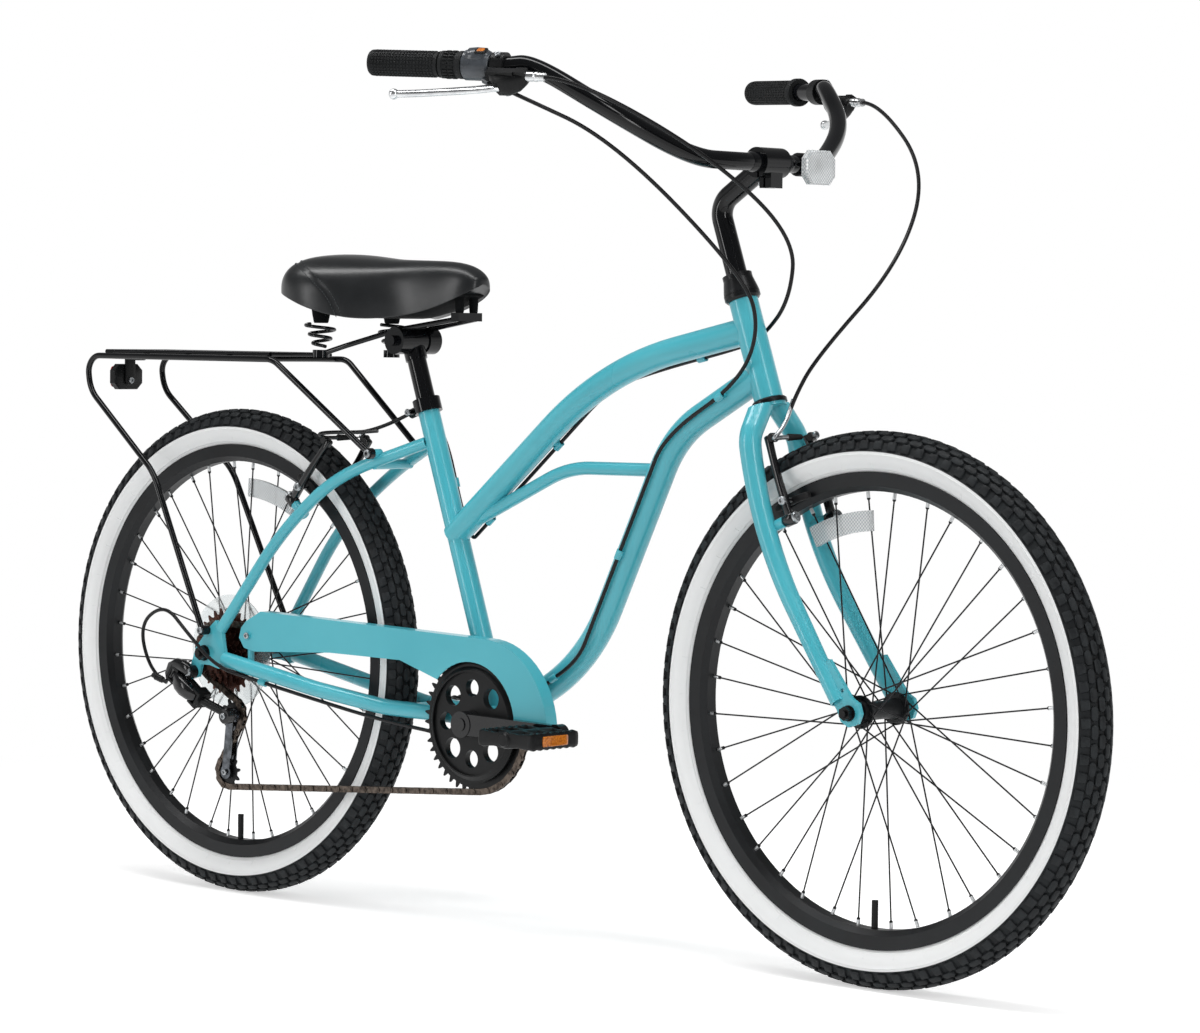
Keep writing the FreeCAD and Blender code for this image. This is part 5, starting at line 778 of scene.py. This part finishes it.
# Cable ends at the brakes: a bent steel pipe, zinc plated in front and lacquered behind, and a moulded rubber
# bellows over the wire. The pipe hooks into the right arm's head; the bolt on the left arm clamps the wire.
PIPES = {"front": ((427, -7, 702), (428.5, -17, 684), (432, -33, 668), (431, -46, 657), (425.5, -42, 655),
                   (424.6, -24, 656.5), (424.6, -12, 656.5)),
         "rear": ((-288, -8, 645), (-318, -17.5, 642), (-345, -31, 642), (-363, -46, 640), (-361, -40, 634.5),
                  (-359, -24, 634), (-359, -12, 634))}
FOLDS = 10
bellows = [(0, 0), (0, 3.4)]
for i in range(FOLDS):
    bellows += [(1.5 + 2.6 * i, 4.5 - 0.12 * i), (2.8 + 2.6 * i, 3.4 - 0.12 * i)]
bellows += [(29, 1.6), (29, 0.8), (44, 0.8), (44, 0)]
for end, route in PIPES.items():
    pipe = wire(end + "_cable_pipe", route, 2.8, zinc_steel if end == "front" else black_lacquer, sides=3)
    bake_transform(pipe)
    boot = build(end + "_cable_bellows", [lathe(bellows, Vector(route[-1]) - Vector((0, 2, 0)), (0, 1, 0))], butyl,
                 end + "_right_arm", "tube_rubber")
    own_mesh(boot)

# Bolts: cold-headed steel with a hexagon socket, zinc plated. They hold the clamps, the brake arms, the
# derailleur, the chain guard and the rack's feet.
for side in (-1, 1):
    bolt("frame", (-262, side * 51.5, 616), (0, side, 0), 5.6)
    bolt("frame", (-553, side * 83, 366), (0, side, 0), 5)
bolt("frame", (-796, 0, 703), (1, 0, 0), 4.6)
bolt("frame", (-482, -62.5, 362), (0, -1, 0), 4.4)
bolt("frame", (-226.3, -13, 671.1), (0, -1, 0), 4.6)
bolt("steering_assembly", (367, 0, 964.5), (-1, 0, 0), 5)
bolt_tree, given = new_tree("bolt_heads", {"Head": "Object", "Finish": "Material"})
facing = put(bolt_tree, "GeometryNodeInputNamedAttribute", {"Name": "facing"}, data_type="FLOAT_VECTOR")
size = put(bolt_tree, "GeometryNodeInputNamedAttribute", {"Name": "size"}, data_type="FLOAT")
turn = put(bolt_tree, "FunctionNodeAlignRotationToVector", {"Vector": facing.outputs["Attribute"]}, axis="Z")
model = put(bolt_tree, "GeometryNodeObjectInfo", {"Object": given["Head"]})
copies = put(bolt_tree, "GeometryNodeInstanceOnPoints", {
    "Points": given["Geometry"], "Instance": model.outputs["Geometry"], "Rotation": turn.outputs[0],
    "Scale": size.outputs["Attribute"]})
close_tree(bolt_tree, copies.outputs[0], given["Finish"])
head = finish_mesh("bolt_head", *lathe(HEAD, (0, 0, 0), (0, 0, 1), 18), zinc_steel, 30)
for body, rows in bolts.items():
    seats = bpy.data.meshes.new(body + "_bolts")
    seats.from_pydata([spot * 0.001 for spot, facing, radius in rows], [], [])
    facings = seats.attributes.new("facing", "FLOAT_VECTOR", "POINT")
    facings.data.foreach_set("vector", [x for spot, facing, radius in rows for x in facing])
    sizes = seats.attributes.new("size", "FLOAT", "POINT")
    sizes.data.foreach_set("value", [radius for spot, facing, radius in rows])
    settle(grow(bolt_tree, body + "_bolts", seats, {"Head": head, "Finish": zinc_steel}), body, "axle_steel")
bpy.data.objects.remove(head)

# Saddle frame: two bent steel rails held by serrated clamp discs on the seatpost, with a cross piece
# at the back that carries a tapering coil spring under each side of the seat.
dress(black_enamel, "saddle_undercarriage")
TURNS, STEPS = 2.5, 80
for sign, hand in ((-1, "right"), (1, "left")):
    coil = []
    for i in range(STEPS + 1):
        share = i / STEPS
        far = 9 + 12 * share
        swing = tau * TURNS * share
        coil.append((-338 + far * cos(swing), sign * (66 + far * sin(swing)), 756.4 + 29.8 * share))
    spring = wire(hand + "_spring", coil, 2.4, black_enamel, "POLY")
    settle(spring, "saddle_frame", "black_paint", *(["saddle_springs"] if sign == 1 else []))
    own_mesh(spring)

# Saddle top: foam on a moulded base under a stretched vinyl cover, sewn from a main piece and a panel
# on each rear side, stapled under the base.
# Vinyl cover: near-black with a soft sheen and a pressed leather grain, cells about 1.6 mm wide.
seat_vinyl, tree, shader = start_finish("pressed_grain_vinyl", {"IOR": 1.5, "Specular IOR Level": 0.5})
place = vary(tree, shader, ("#111315", "#181A1C"), 60, (0.28, 0.36), 1.2, 0.02)[0]
cells = put(tree, "ShaderNodeTexVoronoi", {"Vector": place, "Scale": 1000 / 1.6}, feature="DISTANCE_TO_EDGE")
relief = put(tree, "ShaderNodeBump", {"Height": cells.outputs["Distance"], "Strength": 0.25, "Distance": 0.0002})
tree.links.new(relief.outputs["Normal"], shader.inputs["Normal"])
STATIONS = ((-102, 9, 847, 836), (-107, 19, 853, 833), (-124, 28, 865, 823), (-152, 33, 870.5, 812),
            (-185, 38, 871.5, 802.5), (-220, 46, 872, 796.5), (-255, 66, 872.5, 793), (-290, 92, 876, 796),
            (-330, 108, 880, 808), (-360, 108, 880.5, 819.5), (-381, 101, 877, 826), (-395, 87, 868, 829.5),
            (-402, 69, 856, 831.5), (-405, 52, 846, 833))
SECTION = ((0, 0), (0.4, 0.03), (0.72, 0.14), (0.91, 0.38), (0.99, 0.7), (0.985, 1))
points, faces = [], []
for x, half, top, edge in STATIONS:
    ring = [(half * out, top - (top - edge) * drop) for out, drop in SECTION]
    ring += [(half * 0.95, edge + 0.4), (half * 0.8, edge + 3), (half * 0.4, edge + 4)]
    ring += [(0, edge + 4)] + [(-y, z) for y, z in reversed(ring[1:])]
    points += [Vector((x, y, z)) * 0.001 for y, z in ring]
around = len(points) // len(STATIONS)
for i in range(len(STATIONS) - 1):
    for j in range(around):
        k = (j + 1) % around
        faces.append((i * around + j, i * around + k, (i + 1) * around + k, (i + 1) * around + j))
faces.append(tuple(range(around)))
faces.append(tuple(range(len(points) - around, len(points))))
seat = finish_mesh("saddle_top", points, faces, seat_vinyl, 180)
hem = {len(SECTION) - 1, around - len(SECTION) + 1}
crease = seat.data.attributes.new("crease_edge", "FLOAT", "EDGE")
for edge in seat.data.edges:
    a, b = edge.vertices
    if a % around in hem and b % around in hem:
        crease.data[edge.index].value = 1.0
rounded = seat.modifiers.new("round_off", "SUBSURF")
rounded.levels = rounded.render_levels = 3


def bake(piece):
    """Keep a piece's modifiers in its mesh."""
    plain = plain_mesh(piece)
    piece.modifiers.clear()
    piece.data = plain


bake(seat)
rest = [(v.co.copy(), v.normal.copy()) for v in seat.data.vertices]
held = seat.vertex_groups.new(name="base")
held.add([v.index for v in seat.data.vertices if v.normal.z < -0.2], 1.0, "REPLACE")
CLOTH_FRAMES, MOST_SWELL, EVENINGS = 20, 0.003, 40
cloth = seat.modifiers.new("stuffing", "CLOTH")
cloth.settings.use_pressure = True
cloth.settings.uniform_pressure_force = 3
cloth.settings.effector_weights.gravity = 0
cloth.settings.vertex_group_mass = "base"
cloth.settings.tension_stiffness = 30
cloth.settings.bending_stiffness = 4
cloth.point_cache.frame_end = CLOTH_FRAMES
for number in range(1, CLOTH_FRAMES + 1):
    scene.frame_set(number)
bake(seat)
scene.frame_set(1)
swell = [min(max((v.co - was).dot(out), 0), MOST_SWELL) for v, (was, out) in zip(seat.data.vertices, rest)]
for _ in range(EVENINGS):
    total, beside = list(swell), [1] * len(swell)
    for edge in seat.data.edges:
        a, b = edge.vertices
        total[a] += swell[b]
        total[b] += swell[a]
        beside[a] += 1
        beside[b] += 1
    swell = [t / n for t, n in zip(total, beside)]
for vertex, (was, out), rise in zip(seat.data.vertices, rest, swell):
    vertex.co = was + out * rise

# Seams: the side panels are sewn to the main piece, with a row of stitches on both sides of the join.
# Spun polyester thread: dark grey and slightly shiny, each stitch some 3 mm long.
SEAM = ((-388, -60, 872), (-372, -78, 868), (-345, -92, 860), (-318, -101, 848), (-298, -104, 834), (-286, -103, 818),
        (-281, -98, 804), (-281, -90, 795))
thread = varied("polyester_thread", {"Specular IOR Level": 0.3},
                ("#2E3133", "#3C4042"), 4, (0.45, 0.6), 0.4, 0.03)
stitch_tree, given = new_tree("stitches_along_a_line", {"Length": "Float", "Thickness": "Float", "Finish": "Material"})
path = put(stitch_tree, "GeometryNodeMeshToCurve", {"Mesh": given["Geometry"]})
even = put(stitch_tree, "GeometryNodeResampleCurve", {"Curve": path.outputs[0], "Length": given["Length"]},
           mode="LENGTH")
heading = put(stitch_tree, "GeometryNodeInputTangent")
turn = put(stitch_tree, "FunctionNodeAlignRotationToVector", {"Vector": heading.outputs[0]}, axis="X")
bead = put(stitch_tree, "GeometryNodeMeshUVSphere", {"Segments": 8, "Rings": 6, "Radius": given["Thickness"]})
sewn = put(stitch_tree, "GeometryNodeInstanceOnPoints", {"Points": even.outputs[0], "Instance": bead.outputs[0],
                                                         "Rotation": turn.outputs[0], "Scale": (2.6, 1, 1)})
close_tree(stitch_tree, sewn.outputs[0], given["Finish"])
SEAM_HALF, SEAM_DEPTH, ROW_APART, THREAD_OUT = 0.004, 0.0012, 0.004, 0.0002
surface = BVHTree.FromPolygons([v.co for v in seat.data.vertices], [p.vertices for p in seat.data.polygons])
rows = []
for sign in (1, -1):
    line = []
    for i in range(len(SEAM) - 1):
        a, b = Vector(SEAM[i]), Vector(SEAM[i + 1])
        for j in range(8):
            spot = (a + (b - a) * j / 8) * 0.001
            line.append(surface.find_nearest(Vector((spot.x, spot.y * sign, spot.z)))[:2])
    for vertex in seat.data.vertices:
        gap = min((vertex.co - spot).length for spot, out in line)
        if gap < SEAM_HALF:
            vertex.co -= vertex.normal * SEAM_DEPTH * (1 - gap / SEAM_HALF)
    for shift in (-ROW_APART, ROW_APART):
        row = []
        for i in range(len(line) - 1):
            spot, out = line[i]
            beside = (line[i + 1][0] - spot).cross(out).normalized()
            near, facing = surface.find_nearest(spot + beside * shift)[:2]
            row.append(near + facing * THREAD_OUT)
        rows.append(row)
smooth = seat.modifiers.new("stretch", "SUBSURF")
smooth.levels = smooth.render_levels = 1
bake(seat)
seat.data.materials.clear()
seat.data.materials.append(seat_vinyl)
seat.data.shade_smooth()
settle(seat, "saddle_top", "saddle_vinyl", "saddle_cushion")
spots = [spot for row in rows for spot in row]
joins = [(i, i + 1) for i in range(len(spots) - 1) if (i + 1) % len(rows[0])]
lines = bpy.data.meshes.new("saddle_stitches")
lines.from_pydata(spots, joins, [])
stitches = grow(stitch_tree, "saddle_stitches", lines, {"Length": 0.0042, "Thickness": 0.0006, "Finish": thread})
settle(stitches, "saddle_top", "saddle_vinyl")

# Saddle base: a moulded shell that fills the cover's hem, with a seat for each spring and two posts for
# the rails' nose.
# Polypropylene: matt black with hardly any shine, and the coarse grain of its mould, about 1 mm.
base_plastic = varied("moulded_polypropylene", {"Specular IOR Level": 0.06},
                      ("#0C0D0E", "#131415"), 30, (0.7, 0.85), 1, 0.03)
shapes = [cast([((x, 0, edge + 5), (0, half * 0.9, 0), (0, 0, 3.6)) for x, half, top, edge in STATIONS[2:-3]], 5.0)]
for side in (-1, 1):
    shapes.append(lathe(((0, 0), (0, 9), (2, 10), (12, 12), (28, 14), (28, 0)), (-338, 66 * side, 787.4), (0, 0, 1)))
    shapes.append(lathe(((0, 0), (0, 5), (2, 5.6), (24, 6.4), (24, 0)), (-133, 13 * side, 802.8), (0, 0, 1)))
build("saddle_base", shapes, base_plastic, "saddle_top", "black_plastic")

# Rear rack: bent and welded steel rod, powder coated black, bolted to the stays and to the rear ends.
# Under its tail a black moulded back holds a red lens that faces the rear.
dress(black_enamel, "rear_rack")
BRACKET = ((697, 7), (701, 9), (728, 9), (733, 9))
build("rack_lens_back", [
    knob([(26 * a, 18 * b) for a, b in CUT], lambda a, b, h: Vector((-800 - h, -a, 708 + b)) * 0.001,
         ((0, 0.9), (1.5, 1), (11, 1), (12, 0.95))),
    cast([((-798, 0, z), (2, 0, 0), (0, wide, 0)) for z, wide in BRACKET], 6.0, 0.2),
    cast([((x, 0, 732.9), (0, 9, 0), (0, 0, 1.5)) for x in (-799, -788, -775)], 6.0, 0.2),
], black_nylon, "frame", "black_plastic", "rack_reflector")
# Red acrylic: deep red with small prisms about 2.5 mm wide, each painted brighter at its middle as a glint.
red_acrylic = glinting_prism_acrylic("red_prism_acrylic", 0.16, ("#C8281F", "#7A0F0C"))
lens("rack_lens", Vector((-0.8119, 0, 0.708)), (0, -1, 0), (0, 0, 1), (46, 30), 2.2, red_acrylic, "frame",
     "red_plastic")

# Floor, light and camera: a white sweep under three narrow soft lamps, seen from the front right.
# Matt white paper, which keeps only the soft shadow under the tyres. To the camera and in reflections it glows
# up to plain white away from the wheels, so that its edge does not show.
paper, tree, shader = start_finish("white_paper", {"Roughness": 0.9})
tree.nodes.remove(shader)
place = put(tree, "ShaderNodeTexCoord").outputs["Object"]
pulp = put(tree, "ShaderNodeTexNoise", {"Vector": place, "Scale": 1000 / 4, "Detail": 2.0}).outputs["Fac"]
matt = put(tree, "ShaderNodeBsdfDiffuse", {"Color": ramp(tree, pulp, ("#EDEDED", "#F2F2F2"))})
rays = put(tree, "ShaderNodeLightPath").outputs
seen = maths(tree, "ADD", rays["Is Camera Ray"], rays["Is Glossy Ray"])
seen = maths(tree, "ADD", seen, rays["Is Transmission Ray"], use_clamp=True)
glow = put(tree, "ShaderNodeEmission", {"Color": (1, 1, 1, 1), "Strength": 0.5})
both = put(tree, "ShaderNodeAddShader", {0: matt.outputs[0], 1: glow.outputs[0]})
far = put(tree, "ShaderNodeVectorMath", {0: place}, operation="LENGTH").outputs["Value"]
fade = put(tree, "ShaderNodeMapRange", {"Value": far, "From Min": 0.9, "From Max": 2.2},
           interpolation_type="SMOOTHSTEP")
bare = put(tree, "ShaderNodeEmission", {"Color": (1, 1, 1, 1), "Strength": 1.0})
sweep = put(tree, "ShaderNodeMixShader", {0: fade.outputs["Result"], 1: both.outputs[0], 2: bare.outputs[0]})
pick = put(tree, "ShaderNodeMixShader", {0: seen, 1: matt.outputs[0], 2: sweep.outputs[0]})
tree.links.new(pick.outputs[0], tree.nodes["Material Output"].inputs["Surface"])
corners = [Vector((x, y, 0)) for x, y in ((-7, -7), (7, -7), (7, 7), (-7, 7))]
floor = finish_mesh("floor", corners, [(0, 1, 2, 3)], paper)

# The studio is white to the camera. In reflections it is white only towards the backdrop and low down, and
# dim elsewhere, so that the dark pieces keep their narrow highlights.
world = bpy.data.worlds.new("studio")
world.use_nodes = True
scene.world = world
tree = world.node_tree
rays = put(tree, "ShaderNodeLightPath").outputs
way = put(tree, "ShaderNodeTexCoord").outputs["Generated"]
behind = put(tree, "ShaderNodeVectorMath", {0: way, 1: (-0.67, 0.74, 0)}, operation="DOT_PRODUCT").outputs["Value"]
high = put(tree, "ShaderNodeSeparateXYZ", {0: way}).outputs["Z"]
low = put(tree, "ShaderNodeMapRange", {"Value": high, "From Min": 0.4, "From Max": 0.15}).outputs["Result"]
sweep = put(tree, "ShaderNodeMapRange", {"Value": behind, "From Min": -0.3, "From Max": 0.2,
                                         "To Max": low}).outputs["Result"]
shown = maths(tree, "ADD", rays["Is Glossy Ray"], rays["Is Transmission Ray"])
seen = maths(tree, "MULTIPLY_ADD", shown, sweep, rays["Is Camera Ray"], use_clamp=True)
dim = maths(tree, "MULTIPLY_ADD", rays["Is Glossy Ray"], -0.2, 0.38)
white = put(tree, "ShaderNodeBackground", {"Color": (1, 1, 1, 1), "Strength": 1.0})
ambient = put(tree, "ShaderNodeBackground", {"Color": (1, 1, 1, 1), "Strength": dim})
pick = put(tree, "ShaderNodeMixShader", {0: seen, 1: ambient.outputs[0], 2: white.outputs[0]})
tree.links.new(pick.outputs[0], tree.nodes["World Output"].inputs["Surface"])

LAMPS = (("top_softbox", (0.1, -0.5, 3.2), (0, 0, 0.5), (4.6, 0.55), 72),
         ("front_softbox", (3.6, -1.2, 1.5), (0, 0, 0.7), (0.55, 2.4), 30),
         ("side_softbox", (-1.4, -3.4, 1.6), (0, 0, 0.7), (0.55, 2.4), 30))
for name, spot, target, size, power in LAMPS:
    light = bpy.data.lights.new(name, "AREA")
    light.shape = "RECTANGLE"
    light.size, light.size_y = size
    light.energy = power
    lamp = add(name, light)
    lamp.location = spot
    lamp.rotation_euler = (Vector(target) - Vector(spot)).to_track_quat("-Z", "Y").to_euler()

azimuth, elevation, roll = radians(42.259), radians(2.763), radians(0.707)
back = Vector((sin(azimuth) * cos(elevation), -cos(azimuth) * cos(elevation), sin(elevation)))
right = (-back).cross(Vector((0, 0, 1))).normalized()
up = right.cross(-back)
rolled = right * cos(roll) + up * sin(roll)
raised = up * cos(roll) - right * sin(roll)
CAMERA_SPOT = (3.4764, -3.7086, 0.7887)
lens_data = bpy.data.cameras.new("camera")
lens_data.sensor_fit = "HORIZONTAL"
lens_data.sensor_width = 36
lens_data.lens = 118.7
camera = add("camera", lens_data)
camera.matrix_world = Matrix.Translation(CAMERA_SPOT) @ Matrix((rolled, raised, back)).transposed().to_4x4()
scene.camera = camera
scene.view_settings.view_transform = "Standard"
